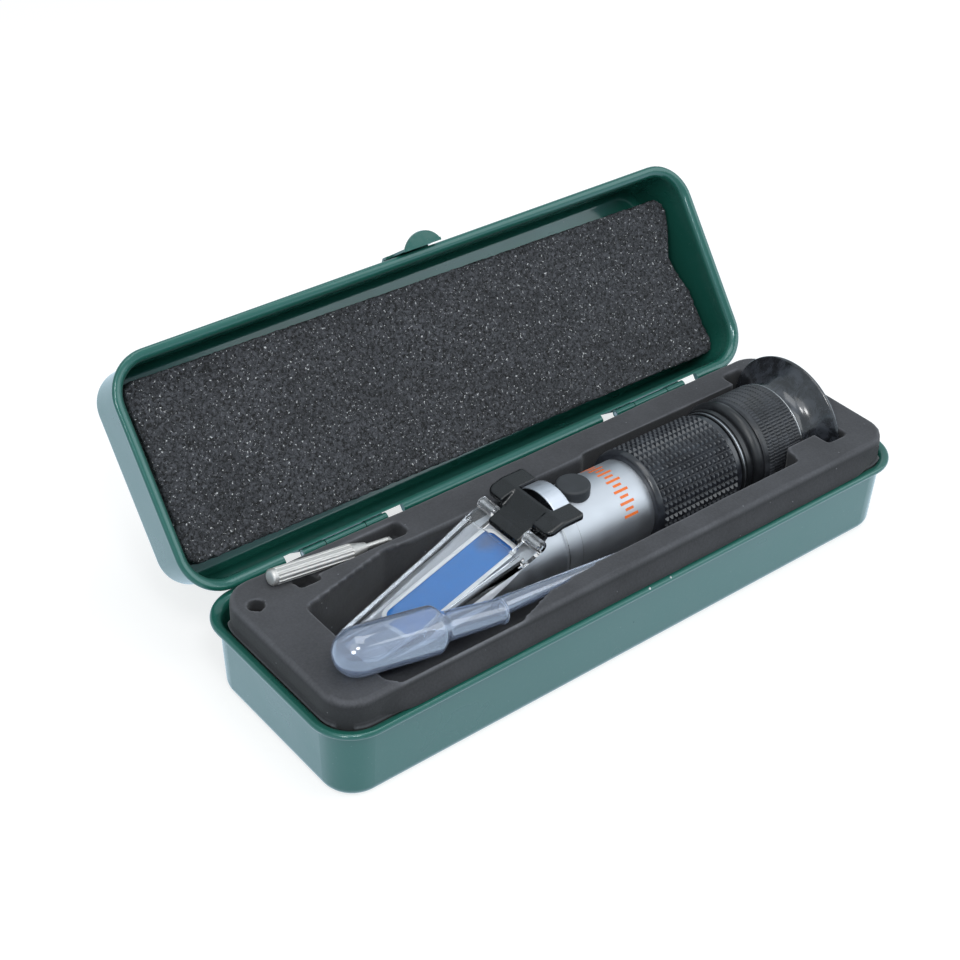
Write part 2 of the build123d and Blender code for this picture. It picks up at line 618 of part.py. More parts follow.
def saddle_block():
    """Black moulded saddle: a seat on the barrel, two drooping ears and a ramp to its tongue."""
    under = saddle_top - EAR_THICK
    seat_half = SADDLE_HALF - SEAT_INSET
    low = barrel_top - SEAT_SINK
    seat = block(SADDLE_FRONT_X + 1, SADDLE_REAR_X, -seat_half, seat_half, low, under)
    side = make_face(Polyline(
        (SADDLE_REAR_X, 0, saddle_top), (RAMP_TOP_X, 0, saddle_top),
        (SADDLE_FRONT_X, 0, saddle_top - EAR_DROOP), (SADDLE_FRONT_X, 0, under - EAR_DROOP),
        (RAMP_TOP_X, 0, under), (SADDLE_REAR_X, 0, under), close=True))
    ears = extrude(side, SADDLE_HALF, both=True)
    ears = fillet(ears.edges().filter_by(Axis.Z).group_by(Axis.X)[0], SADDLE_CORNER)
    ears = fillet(ears.edges().group_by(Axis.Y)[0] + ears.edges().group_by(Axis.Y)[-1], EAR_ROUND)
    bend_z = barrel_top + RAMP_BEND_RISE
    front_z = barrel_top - TONGUE_TOP_DROP
    foot_z = barrel_top - TONGUE_FOOT_DROP
    ramp = make_face(Polyline(
        (RAMP_TOP_X, 0, saddle_top), (RAMP_BEND_X, 0, bend_z), (TONGUE_FRONT_X, 0, front_z),
        (TONGUE_FRONT_X - 9, 0, front_z), (TONGUE_FRONT_X - 9, 0, saddle_top + 4),
        (RAMP_TOP_X, 0, saddle_top + 4), close=True))
    tongue = make_face(Polyline(
        (RAMP_TOP_X, 0, saddle_top), (RAMP_BEND_X, 0, bend_z), (TONGUE_FRONT_X, 0, front_z),
        (TONGUE_FRONT_X, 0, foot_z), (RAMP_TOP_X, 0, foot_z), close=True))
    saddle = seat + ears - extrude(ramp, TONGUE_HALF + RUN_GAP, both=True)
    saddle += extrude(tongue, TONGUE_HALF, both=True)
    floor = saddle_top - WINDOW_DEPTH
    saddle -= block(WINDOW_FRONT_X, SADDLE_REAR_X + 1, -WINDOW_HALF, WINDOW_HALF, floor, saddle_top + 1)
    round_r = TUBE_R + FIT_GAP
    nose = turned([(NOSE_TIP_X, 0), (NOSE_TIP_X, round_r), (HOUSING_END_X, round_r), (HOUSING_END_X, 0)])
    saddle -= nose & on_bevel(block(-40, 80, -30, 30, -60, FIT_GAP))
    near = HOUSING_END_X - 2 * FIT_GAP
    saddle -= turned([(near, 0), (near, round_r), (0, round_r), (0, 0)])
    return saddle - cross_pin(PLATE_PIN_D / 2 + FIT_GAP, 3 * SADDLE_HALF)


def saddle_leaf():
    """Bright spring leaf arched over the saddle's window."""
    low = saddle_top - WINDOW_DEPTH
    half = WINDOW_HALF - FIT_GAP
    top = saddle_top + LEAF_RISE
    outer = ThreePointArc((0, -half, low + LEAF_SHEET), (0, 0, top), (0, half, low + LEAF_SHEET))
    inner = ThreePointArc((0, half, low), (0, 0, top - LEAF_SHEET), (0, -half, low))
    band = make_face([outer, Line(outer @ 1, inner @ 0), inner, Line(inner @ 1, outer @ 0)])
    return Pos(SADDLE_REAR_X - LEAF_WIDTH / 2, 0, 0) * extrude(band, LEAF_WIDTH / 2, both=True)


def body_tube():
    """Drawn aluminium barrel with the calibration bush's hole."""
    tube = turned([
        (HOUSING_END_X, tube_bore), (HOUSING_END_X, TUBE_R - JOINT_CHAMFER),
        (HOUSING_END_X + JOINT_CHAMFER, TUBE_R), (TUBE_REAR_X, TUBE_R), (TUBE_REAR_X, tube_bore)])
    return tube - Pos(SCREW_X, 0, barrel_top) * Cylinder(BUSH_D / 2 + FIT_GAP, 10)


def screw_bush():
    """Threaded bush set through the barrel's wall."""
    low = AXIS_Z + tube_bore - BUSH_SINK
    bush = extrude(Circle(BUSH_D / 2), bush_top - low)
    return Pos(SCREW_X, 0, low) * (bush - extrude(Circle(SCREW_D / 2 + FIT_GAP), 20))


def calibration_screw():
    """Slotted grub screw that trims the scale."""
    screw = Pos(SCREW_X, 0, screw_top - SCREW_LENGTH) * extrude(Circle(SCREW_D / 2), SCREW_LENGTH)
    return screw - Pos(SCREW_X, 0, screw_top) * Box(SCREW_D + 1, SLOT_WIDTH, 2 * SLOT_DEPTH)


def screw_cap():
    """Soft cap pressed over the bush, its skirt following the barrel."""
    low = barrel_top - CAP_SKIRT
    cap = Pos(SCREW_X, 0, low) * extrude(Circle(CAP_D / 2), cap_top - low)
    cap = fillet(cap.edges().group_by(Axis.Z)[-1], CAP_ROUND)
    cap -= Pos(SCREW_X, 0, low) * extrude(Circle(BUSH_D / 2 + 2 * FIT_GAP), cap_top - CAP_ROOF - low)
    skirt_r = TUBE_R + 3 * FIT_GAP
    return cap - turned([(-40, 0), (-40, skirt_r), (40, skirt_r), (40, 0)])


def lens(x, thick, radius, bulge):
    """Biconvex lens between two planes, its faces bulging by the given rise."""
    sphere_r = (radius ** 2 + bulge ** 2) / (2 * bulge)
    half = asin(radius / sphere_r) / 2
    sag = sphere_r * (1 - cos(half))
    rise = sphere_r * sin(half)
    front = ThreePointArc((x, radius), (x - bulge + sag, rise), (x - bulge, 0))
    rear = ThreePointArc((x + thick + bulge, 0), (x + thick + bulge - sag, rise), (x + thick, radius))
    axis = Line((x - bulge, 0), (x + thick + bulge, 0))
    edge = Line((x + thick, radius), (x, radius))
    return Pos(0, 0, AXIS_Z) * revolve(make_face([front, axis, rear, edge]), Axis.X)


def ring(span, inner, outer):
    """Plain ring about the instrument's axis."""
    return turned([(span[0], inner), (span[0], outer), (span[1], outer), (span[1], inner)])


def bimetal_frame():
    """Ring and bimetal strip that shift the image as the sample's temperature changes."""
    front = HOUSING_END_X + BIMETAL_RING_X[0]
    rear = HOUSING_END_X + BIMETAL_RING_X[1]
    frame = ring((front, rear), tube_bore - BIMETAL_RING_WIDTH, tube_bore - FIT_GAP)
    half = BIMETAL_WIDTH / 2
    top = screw_top - SCREW_LENGTH - FIT_GAP
    low = top - BIMETAL_SHEET
    strip = block(front, SCREW_X + BIMETAL_REACH, -half, half, low, top)
    return frame + strip + block(front, rear, -half, half, low, AXIS_Z + tube_bore - 2.0)


def rubber_grip():
    """Rubber sleeve with a rounded front shoulder and ribbed studs."""
    inner = TUBE_R + FIT_GAP
    root = grip_r - STUD_HEIGHT
    first = GRIP_FRONT_X + STUDS_START
    rear = TRIM_FRONT_X - 0.2
    count = int((rear - first) / STUD_PITCH)
    points = [(GRIP_FRONT_X, inner), (GRIP_FRONT_X, grip_r - 1.2), (GRIP_FRONT_X + 0.4, grip_r - 0.4),
              (GRIP_FRONT_X + 1.2, grip_r), (first - 0.3, grip_r)]
    for n in range(count):
        x = first + STUD_PITCH * n
        points += [(x, root), (x + STUD_PITCH / 2, grip_r)]
    return turned([*points, (first + STUD_PITCH * count, root), (rear, root), (rear, inner)])


def eyepiece_collar():
    """Fixed collar behind the grip, with its rolled bead."""
    inner = TUBE_R + FIT_GAP
    outer = TUBE_R + COLLAR_PROUD
    bead = (COLLAR_REAR_X - COLLAR_WAIST_X) / 2
    middle = COLLAR_REAR_X - bead
    shoulder = COLLAR_WAIST_X - 2 * COLLAR_DIP
    bead_z = roll_r - bead
    face = make_face([
        Line((COLLAR_FRONT_X, inner), (COLLAR_FRONT_X, outer)),
        Line((COLLAR_FRONT_X, outer), (shoulder, outer)),
        Line((shoulder, outer), (COLLAR_WAIST_X, outer - COLLAR_DIP)),
        Line((COLLAR_WAIST_X, outer - COLLAR_DIP), (COLLAR_WAIST_X, bead_z)),
        ThreePointArc((COLLAR_WAIST_X, bead_z), (middle, roll_r), (COLLAR_REAR_X, bead_z)),
        Line((COLLAR_REAR_X, bead_z), (COLLAR_REAR_X, inner)),
        Line((COLLAR_REAR_X, inner), (COLLAR_FRONT_X, inner)),
    ])
    return Pos(0, 0, AXIS_Z) * revolve(face, Axis.X)


def focus_ring():
    """Knurled focusing ring that turns on the barrel's rear end."""
    front = COLLAR_REAR_X + RUN_GAP
    rear = FOCUS_REAR_X
    inner = TUBE_R + RUN_GAP
    top = TUBE_R + FOCUS_PROUD
    band = top - FOCUS_STEP
    edge = band - FOCUS_BEVEL
    eye = neck_r - 1.5
    start = front + 1.6
    end = rear - 1.4
    return turned([
        (front, inner), (front, edge), (front + FOCUS_BEVEL, band), (start, band), (start, top), (end, top),
        (end, band), (rear - FOCUS_BEVEL, band), (rear, edge), (rear, eye), (TUBE_REAR_X + 2.0, eye),
        (TUBE_REAR_X + 0.4, inner)])


def eyecup():
    """Soft rubber eyecup: a short neck that flares to a wide thin rim."""
    root = FOCUS_REAR_X
    rim = EYECUP_R
    lip_start = (EYECUP_RIM_X - 1.0, rim - 0.3)
    waist = (root + 2.4, neck_r + 0.6)
    outer = Spline((root, neck_r + 0.4), waist, lip_start, tangents=[(1, -0.1), (0.55, 1)])
    lip = ThreePointArc(outer @ 1, (EYECUP_RIM_X - 0.2, rim), (EYECUP_RIM_X, rim - 1.1))
    inner = Spline(lip @ 1, (root + 3.6, neck_r - 1.4), (root, neck_r - 1.9), tangents=[(-0.6, -1), (-1, 0)])
    face = make_face([outer, lip, inner, Line(inner @ 1, outer @ 0)])
    return Pos(0, 0, AXIS_Z) * revolve(face, Axis.X)


fitted_r = tube_bore - FIT_GAP
cell_bore = cell_r - CELL_WALL
nodes = {
    "base_tray": base_tray,
    "lid_tray": lid_tray,
    "base_foam": base_foam(),
    "lid_sponge": open_lid(lid_sponge()),
    "lid_clasp": open_lid(clasp()),
    "clasp_rivets": open_lid(clasp_rivets()),
    "prism_housing": prism_housing(),
    "prism": on_bevel(prism_pocket(0)),
    "daylight_plate": daylight_plate(),
    "plate_hinge_pin": cross_pin(PLATE_PIN_D / 2, 2 * PLATE_KNUCKLE_OUT - 0.6),
    "saddle_block": saddle_block(),
    "saddle_leaf": saddle_leaf(),
    "body_tube": body_tube(),
    "screw_bush": screw_bush(),
    "calibration_screw": calibration_screw(),
    "screw_cap": screw_cap(),
    "rubber_grip": rubber_grip(),
    "trim_ring": ring((TRIM_FRONT_X, COLLAR_FRONT_X), TUBE_R + FIT_GAP, TUBE_R + TRIM_PROUD),
    "eyepiece_collar": eyepiece_collar(),
    "bimetal_frame": bimetal_frame(),
    "objective_lens": lens(OBJECTIVE_X, OBJECTIVE_THICK, fitted_r, OBJECTIVE_BULGE),
    "objective_ring": ring(OBJECTIVE_RING_X, OBJECTIVE_RING_R, fitted_r),
    "reticle": ring(RETICLE_X, 0, fitted_r),
    "reticle_ring": ring(RETICLE_RING_X, RETICLE_RING_R, fitted_r),
    "lens_cell": ring(CELL_X, cell_bore, cell_r),
    "eyepiece_lens": lens(EYE_LENS_X, EYE_LENS_THICK, cell_bore - FIT_GAP, EYE_LENS_BULGE),
    "lens_retainer": ring(RETAINER_X, RETAINER_R, cell_bore - FIT_GAP),
    "focus_ring": focus_ring(),
    "eyecup": eyecup(),
    "pipette": pipette(),
    "screwdriver_handle": screwdriver_handle(),
    "screwdriver_blade": screwdriver_blade(),
}
for side, centre in HINGE_CENTRES.items():
    nodes[f"base_leaf_{side}"] = hinge_leaf(centre, False)
    nodes[f"lid_leaf_{side}"] = open_lid(hinge_leaf(centre, True))
    nodes[f"hinge_pin_{side}"] = hinge_pin(centre)

for name, shape in nodes.items():
    export_step(shape, f"parts/{name}.step")
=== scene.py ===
"""Looks of the coolant refractometer in its steel case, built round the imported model.

Lengths are written in millimetres and turned to metres where a mesh is made. The
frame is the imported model's own: +X along the case towards the eyecup, +Y towards
the lid's hinge, +Z up, with the origin under the middle of the case.
"""
from __future__ import annotations

import json
import logging
import math
from collections.abc import Callable, Sequence
from dataclasses import dataclass, field
from enum import Enum

import bpy
import numpy as np
from mathutils import Matrix, Vector, noise

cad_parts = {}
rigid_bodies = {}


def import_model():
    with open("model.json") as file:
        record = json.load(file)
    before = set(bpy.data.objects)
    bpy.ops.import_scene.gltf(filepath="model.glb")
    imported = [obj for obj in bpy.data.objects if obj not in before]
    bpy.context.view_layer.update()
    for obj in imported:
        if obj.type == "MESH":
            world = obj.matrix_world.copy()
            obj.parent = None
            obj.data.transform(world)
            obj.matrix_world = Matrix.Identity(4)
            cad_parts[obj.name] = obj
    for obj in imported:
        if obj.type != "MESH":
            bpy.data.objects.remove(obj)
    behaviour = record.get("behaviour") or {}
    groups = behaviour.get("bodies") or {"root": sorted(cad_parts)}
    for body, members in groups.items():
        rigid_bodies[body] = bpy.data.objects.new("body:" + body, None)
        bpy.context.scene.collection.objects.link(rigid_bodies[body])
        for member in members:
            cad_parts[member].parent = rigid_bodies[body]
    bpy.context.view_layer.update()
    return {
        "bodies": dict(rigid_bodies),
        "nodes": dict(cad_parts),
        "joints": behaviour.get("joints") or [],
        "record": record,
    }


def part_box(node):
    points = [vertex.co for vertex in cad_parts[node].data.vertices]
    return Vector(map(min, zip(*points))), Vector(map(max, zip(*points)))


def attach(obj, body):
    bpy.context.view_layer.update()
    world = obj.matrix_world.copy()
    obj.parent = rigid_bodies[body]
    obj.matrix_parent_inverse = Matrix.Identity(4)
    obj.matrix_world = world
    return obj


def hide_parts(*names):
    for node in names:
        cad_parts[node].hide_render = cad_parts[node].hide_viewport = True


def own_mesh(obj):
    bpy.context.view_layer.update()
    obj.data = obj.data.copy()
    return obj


log = logging.getLogger("refractometer")

MM = 0.001
ROUND_STEPS = 160

# The bevelled measuring face: its slope, where it starts, and the clear pane's top over it
BEVEL_SLOPE_DEG = 19.65
KNEE_MM = (-22.0, 0.0, 31.4)
PANE_TOP_MM = 2.85

Point2 = tuple[float, float]
Point3 = tuple[float, float, float]
Colour = tuple[float, float, float, float]


def srgb(code: str) -> Colour:
    """Turn an sRGB hex value to linear colour.

    Args:
        code: six hex digits.

    Returns:
        Linear red, green and blue, with full alpha.
    """
    parts = [int(code[i:i + 2], 16) / 255 for i in (0, 2, 4)]
    linear = [c / 12.92 if c <= 0.04045 else ((c + 0.055) / 1.055) ** 2.4 for c in parts]
    return (linear[0], linear[1], linear[2], 1.0)


def scaled(colour: Colour, red: float, green: float, blue: float) -> Colour:
    """A colour with each channel made stronger or weaker."""
    return (colour[0] * red, colour[1] * green, colour[2] * blue, 1.0)


def per_metre(size_mm: float) -> float:
    """Texture scale whose features are about size_mm apart."""
    return 1.0 / (size_mm * MM)


def empty_tree(owner: bpy.types.Material | bpy.types.World) -> bpy.types.NodeTree:
    """Give a material or a world a node tree with nothing in it.

    Args:
        owner: the material or world.

    Returns:
        Its empty node tree.
    """
    owner.use_nodes = True
    owner.node_tree.nodes.clear()
    return owner.node_tree


def feed(tree: bpy.types.NodeTree, node: bpy.types.Node, feeds: dict) -> None:
    """Set or link a node's inputs.

    Args:
        tree: node tree that holds the node.
        node: the node.
        feeds: input name or number to a value, or to the output that is linked there.
    """
    for key, value in feeds.items():
        if isinstance(value, bpy.types.NodeSocket):
            tree.links.new(value, node.inputs[key])
        else:
            node.inputs[key].default_value = value


def add_node(tree: bpy.types.NodeTree, kind: str, feeds: dict | None = None,
             **settings: object) -> bpy.types.Node:
    """Add a shader node with its settings and what feeds it.

    Args:
        tree: node tree that takes the node.
        kind: Blender's name for the node type.
        feeds: input name or number to a value, or to the output that is linked there.
        settings: attributes of the node itself.

    Returns:
        The new node.
    """
    made = tree.nodes.new(kind)
    for key, value in settings.items():
        setattr(made, key, value)
    feed(tree, made, feeds or {})
    return made


@dataclass(frozen=True)
class Blank:
    """An empty material: its nodes, its Principled shader, its output and the place on the object."""

    tree: bpy.types.NodeTree
    shader: bpy.types.Node
    output: bpy.types.Node
    place: bpy.types.NodeSocket


class Finish:
    """A surface of the real set, to be made into a material."""

    def build(self, name: str) -> bpy.types.Material:
        """Make the material.

        Args:
            name: the material's name.

        Returns:
            The material.
        """
        material = bpy.data.materials.new(name)
        tree = empty_tree(material)
        shader = add_node(tree, "ShaderNodeBsdfPrincipled")
        output = add_node(tree, "ShaderNodeOutputMaterial", {"Surface": shader.outputs["BSDF"]})
        place = add_node(tree, "ShaderNodeTexCoord").outputs["Object"]
        self.wire(Blank(tree, shader, output, place))
        return material

    def wire(self, blank: Blank) -> None:
        """Add the nodes that give the surface its look."""
        raise NotImplementedError


def new_mesh(name: str, verts: Sequence, faces: Sequence, angle: float = 35.0) -> bpy.types.Object:
    """Make a mesh object from millimetre points.

    Args:
        name: the object's name.
        verts: points in millimetres.
        faces: lists of point numbers.
        angle: edges sharper than this, in degrees, stay crisp.

    Returns:
        The linked object, smooth apart from its crisp edges.
    """
    mesh = bpy.data.meshes.new(name)
    mesh.from_pydata([tuple(MM * c for c in v) for v in verts], [], [tuple(f) for f in faces])
    mesh.validate()
    mesh.shade_smooth()
    mesh.set_sharp_from_angle(angle=math.radians(angle))
    made = bpy.data.objects.new(name, mesh)
    bpy.context.scene.collection.objects.link(made)
    return made


def dress(piece: bpy.types.Object, material: bpy.types.Material) -> None:
    """Give a piece one material, in place of any it has.

    Args:
        piece: the piece.
        material: the material for all of its slots.
    """
    if not piece.material_slots:
        piece.data.materials.append(material)
    for place in piece.material_slots:
        place.material = material


def install(piece: bpy.types.Object, finish: bpy.types.Material, body: str,
            stands_for: str = "") -> None:
    """Dress a piece and hand it to the frame.

    Args:
        piece: the piece.
        finish: its material.
        body: body that carries it.
        stands_for: CAD node that it takes the place of, if any.
    """
    dress(piece, finish)
    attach(piece, body)
    if stands_for:
        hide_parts(stands_for)


def softened(profile: Sequence[Point2], radius: float, steps: int = 3) -> list[Point2]:
    """Round the corners of an open profile.

    Args:
        profile: (x, r) corners in millimetres.
        radius: largest rounding, cut down where the runs are short.
        steps: points on each rounded corner, less one.

    Returns:
        The profile with short curves at its inner corners.
    """
    out = [profile[0]]
    for before, corner, after in zip(profile, profile[1:], profile[2:]):
        a = Vector(before) - Vector(corner)
        b = Vector(after) - Vector(corner)
        reach = min(radius, 0.45 * a.length, 0.45 * b.length)
        start = Vector(corner) + a.normalized() * reach
        end = Vector(corner) + b.normalized() * reach
        for n in range(steps + 1):
            t = n / steps
            point = start * (1 - t) ** 2 + Vector(corner) * (2 * t * (1 - t)) + end * t ** 2
            out.append((point.x, point.y))
    out.append(profile[-1])
    return out


def band_faces(rows: int, columns: int, closed: bool = False, flipped: bool = False) -> list[tuple[int, ...]]:
    """Faces between rings of points that follow one another.

    Args:
        rows: number of rings.
        columns: points in each ring.
        closed: whether the last ring joins the first.
        flipped: whether the faces turn the other way.

    Returns:
        Four point numbers for each face.
    """
    faces = []
    for i in range(rows if closed else rows - 1):
        j = (i + 1) % rows
        for k in range(columns):
            m = (k + 1) % columns
            a, b, c, d = i * columns + k, j * columns + k, j * columns + m, i * columns + m
            faces.append((a, d, c, b) if flipped else (a, b, c, d))
    return faces


def lathe(name: str, profile: Sequence[Point2], axis_z: float, around: int = ROUND_STEPS,
          relief: Callable[[int, int], float] | None = None, angle: float = 35.0) -> bpy.types.Object:
    """Turn a closed profile about the instrument's axis.

    Args:
        name: the object's name.
        profile: (x, r) points of a closed loop, in millimetres.
        axis_z: height of the axis.
        around: steps round the axis.
        relief: extra radius for a profile point and a step round the axis.
        angle: edges sharper than this, in degrees, stay crisp.

    Returns:
        The turned object.
    """
    verts = []
    for i, (x, r) in enumerate(profile):
        for j in range(around):
            turn = 2 * math.pi * j / around
            radius = r + (relief(i, j) if relief else 0.0)
            verts.append((x, radius * math.sin(turn), axis_z + radius * math.cos(turn)))
    return new_mesh(name, verts, band_faces(len(profile), around, closed=True), angle)


def hoop(name: str, span: Point2, radii: Point2, soft_mm: float, axis_z: float) -> bpy.types.Object:
    """Turn a thin ring with rounded edges.

    Args:
        name: the object's name.
        span: where it starts and ends along the axis, in millimetres.
        radii: its inner and its outer radius.
        soft_mm: rounding of its edges.
        axis_z: height of the axis.

    Returns:
        The ring.
    """
    (near, far), (inner, outer) = span, radii
    profile = [(near, inner), (near, outer), (far, outer), (far, inner)]
    return lathe(name, softened(profile, soft_mm), axis_z)


@dataclass(frozen=True)
class Round:
    """Axis, radius and ends of a round node that lies along the instrument, in millimetres."""

    axis_z: float
    radius: float
    front: float
    rear: float

    @classmethod
    def of(cls, node: str) -> Round:
        """Measure a CAD node."""
        low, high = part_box(node)
        return cls((low.z + high.z) / 2 / MM, (high.z - low.z) / 2 / MM, low.x / MM, high.x / MM)


@dataclass(frozen=True)
class StoveEnamel(Finish):
    """Alkyd stove enamel on pressed steel: deep green, glossy, with a faint orange peel."""

    colour: str = "1f5c50"
    dust: str = "9fb3b2"
    steel: str = "b9bcbd"
    gloss: str = "a8e2f0"
    roughness: float = 0.3
    ior: float = 1.52
    coat: float = 0.85
    cloud_mm: float = 22.0
    peel_mm: float = 1.6
    peel_depth_mm: float = 0.05
    dust_mm: float = 0.5
    rubbed_at_mm: tuple[Point3, ...] = ()
    rub_reach_mm: Point2 = (0.1, 0.9)

    def wire(self, blank: Blank) -> None:
        """Cloud the green, dust it, wear it through at the rub marks and dimple its gloss.

        Args:
            blank: material that takes the nodes.
        """
        tree, place = blank.tree, blank.place
        cloud = add_node(tree, "ShaderNodeTexNoise", {
            "Vector": place, "Scale": per_metre(self.cloud_mm), "Detail": 3.0}).outputs["Fac"]
        peel = add_node(tree, "ShaderNodeTexNoise", {
            "Vector": place, "Scale": per_metre(self.peel_mm), "Detail": 1.0}).outputs["Fac"]
        dust = add_node(tree, "ShaderNodeTexNoise", {
            "Vector": place, "Scale": per_metre(self.dust_mm), "Detail": 2.0}).outputs["Fac"]
        green = srgb(self.colour)
        tone = add_node(tree, "ShaderNodeMix", {
            "Factor": cloud, "A": scaled(green, 0.88, 0.94, 0.92), "B": scaled(green, 1.1, 1.05, 1.08)},
            data_type="RGBA")
        specks = add_node(tree, "ShaderNodeMapRange", {
            "Value": dust, "From Min": 0.72, "From Max": 0.78, "To Max": 0.35})
        dusted = add_node(tree, "ShaderNodeMix", {
            "Factor": specks.outputs["Result"], "A": tone.outputs["Result"], "B": srgb(self.dust)},
            data_type="RGBA")
        colour = dusted.outputs["Result"]
        metal: bpy.types.NodeSocket | None = None
        for point in self.rubbed_at_mm:
            worn = self._rub_mark(blank, dust, point)
            metal = worn if metal is None else add_node(
                tree, "ShaderNodeMath", {0: metal, 1: worn}, operation="MAXIMUM").outputs["Value"]
        if metal is not None:
            colour = add_node(tree, "ShaderNodeMix", {
                "Factor": metal, "A": colour, "B": srgb(self.steel)}, data_type="RGBA").outputs["Result"]
            feed(tree, blank.shader, {"Metallic": metal})
        rough = add_node(tree, "ShaderNodeMapRange", {
            "Value": cloud, "From Min": 0.3, "From Max": 0.7,
            "To Min": self.roughness - 0.05, "To Max": self.roughness + 0.07})
        bump = add_node(tree, "ShaderNodeBump", {
            "Height": peel, "Strength": 0.25, "Distance": self.peel_depth_mm * MM}).outputs["Normal"]
        feed(tree, blank.shader, {
            "Base Color": colour, "Roughness": rough.outputs["Result"], "IOR": self.ior,
            "Specular Tint": srgb(self.gloss), "Coat Weight": self.coat, "Coat Roughness": 0.1,
            "Normal": bump, "Coat Normal": bump})

    def _rub_mark(self, blank: Blank, grain: bpy.types.NodeSocket, point: Point3) -> bpy.types.NodeSocket:
        """Mask of one ragged spot where the paint is rubbed through.

        Args:
            blank: material that takes the nodes.
            grain: fine noise that makes the spot's edge ragged.
            point: middle of the spot, in millimetres.

        Returns:
            The mask, 1 on bare steel.
        """
        tree = blank.tree
        away = add_node(tree, "ShaderNodeVectorMath", {0: blank.place, 1: [MM * c for c in point]},
                        operation="DISTANCE")
        near = add_node(tree, "ShaderNodeMapRange", {
            "Value": away.outputs["Value"], "From Min": self.rub_reach_mm[0] * MM,
            "From Max": self.rub_reach_mm[1] * MM, "To Min": 0.45, "To Max": -0.3})
        ragged = add_node(tree, "ShaderNodeMath", {0: near.outputs["Result"], 1: grain}, operation="ADD")
        mask = add_node(tree, "ShaderNodeMapRange", {
            "Value": ragged.outputs["Value"], "From Min": 0.68, "From Max": 0.75})
        return mask.outputs["Result"]


@dataclass(frozen=True)
class OpenCellSponge(Finish):
    """Open-cell polyurethane sponge, sliced: cut strands that catch the light, drawn with painted glints, and
    near-black painted shade in the cell holes between them.

    The cells are drawn about twice as coarse as real ones, so that they show.
    """

    # Near-black colour of the cell holes: painted shade
    pore_shade: str = "020203"
    strand: str = "5a5c62"
    # Painted glints: white specks in the colour where cut strands would catch the light
    glint: str = "f0f2f5"
    cell_mm: float = 0.9
    glint_size_mm: float = 0.7
    worn_mm: float = 14.0
    pore_depth_mm: float = 0.3

    def wire(self, blank: Blank) -> None:
        """Draw the cells with painted shade in their holes, wear them unevenly and scatter painted glints.

        Args:
            blank: material that takes the nodes.
        """
        tree, place = blank.tree, blank.place
        cells = add_node(tree, "ShaderNodeTexNoise", {
            "Vector": place, "Scale": per_metre(self.cell_mm), "Detail": 4.0, "Roughness": 0.7,
            "Distortion": 0.8})
        wide = add_node(tree, "ShaderNodeTexNoise", {
            "Vector": place, "Scale": per_metre(self.worn_mm), "Detail": 2.0})
        wall = add_node(tree, "ShaderNodeMapRange", {
            "Value": cells.outputs["Fac"], "From Min": 0.4, "From Max": 0.66}).outputs["Result"]
        worn = add_node(tree, "ShaderNodeMapRange", {
            "Value": wide.outputs["Fac"], "From Min": 0.3, "From Max": 0.7, "To Min": 0.85, "To Max": 1.15})
        lit = add_node(tree, "ShaderNodeMath", {0: wall, 1: worn.outputs["Result"]},
                       operation="MULTIPLY", use_clamp=True)
        # Painted shade: the cell holes between the strands go near black
        body = add_node(tree, "ShaderNodeMix", {
            "Factor": lit.outputs["Value"], "A": srgb(self.pore_shade), "B": srgb(self.strand)}, data_type="RGBA")
        # Painted glints scattered over the sponge
        glint_noise = add_node(tree, "ShaderNodeTexNoise", {
            "Vector": place, "Scale": per_metre(self.glint_size_mm), "Detail": 2.0, "Roughness": 0.6})
        painted_glint_mask = add_node(tree, "ShaderNodeMapRange", {
            "Value": glint_noise.outputs["Fac"], "From Min": 0.65, "From Max": 0.73})
        colour = add_node(tree, "ShaderNodeMix", {
            "Factor": painted_glint_mask.outputs["Result"], "A": body.outputs["Result"], "B": srgb(self.glint)},
            data_type="RGBA")
        bump = add_node(tree, "ShaderNodeBump", {
            "Height": wall, "Strength": 0.8, "Distance": self.pore_depth_mm * MM})
        feed(tree, blank.shader, {
            "Base Color": colour.outputs["Result"], "Roughness": 0.7, "IOR": 1.45,
            "Normal": bump.outputs["Normal"]})


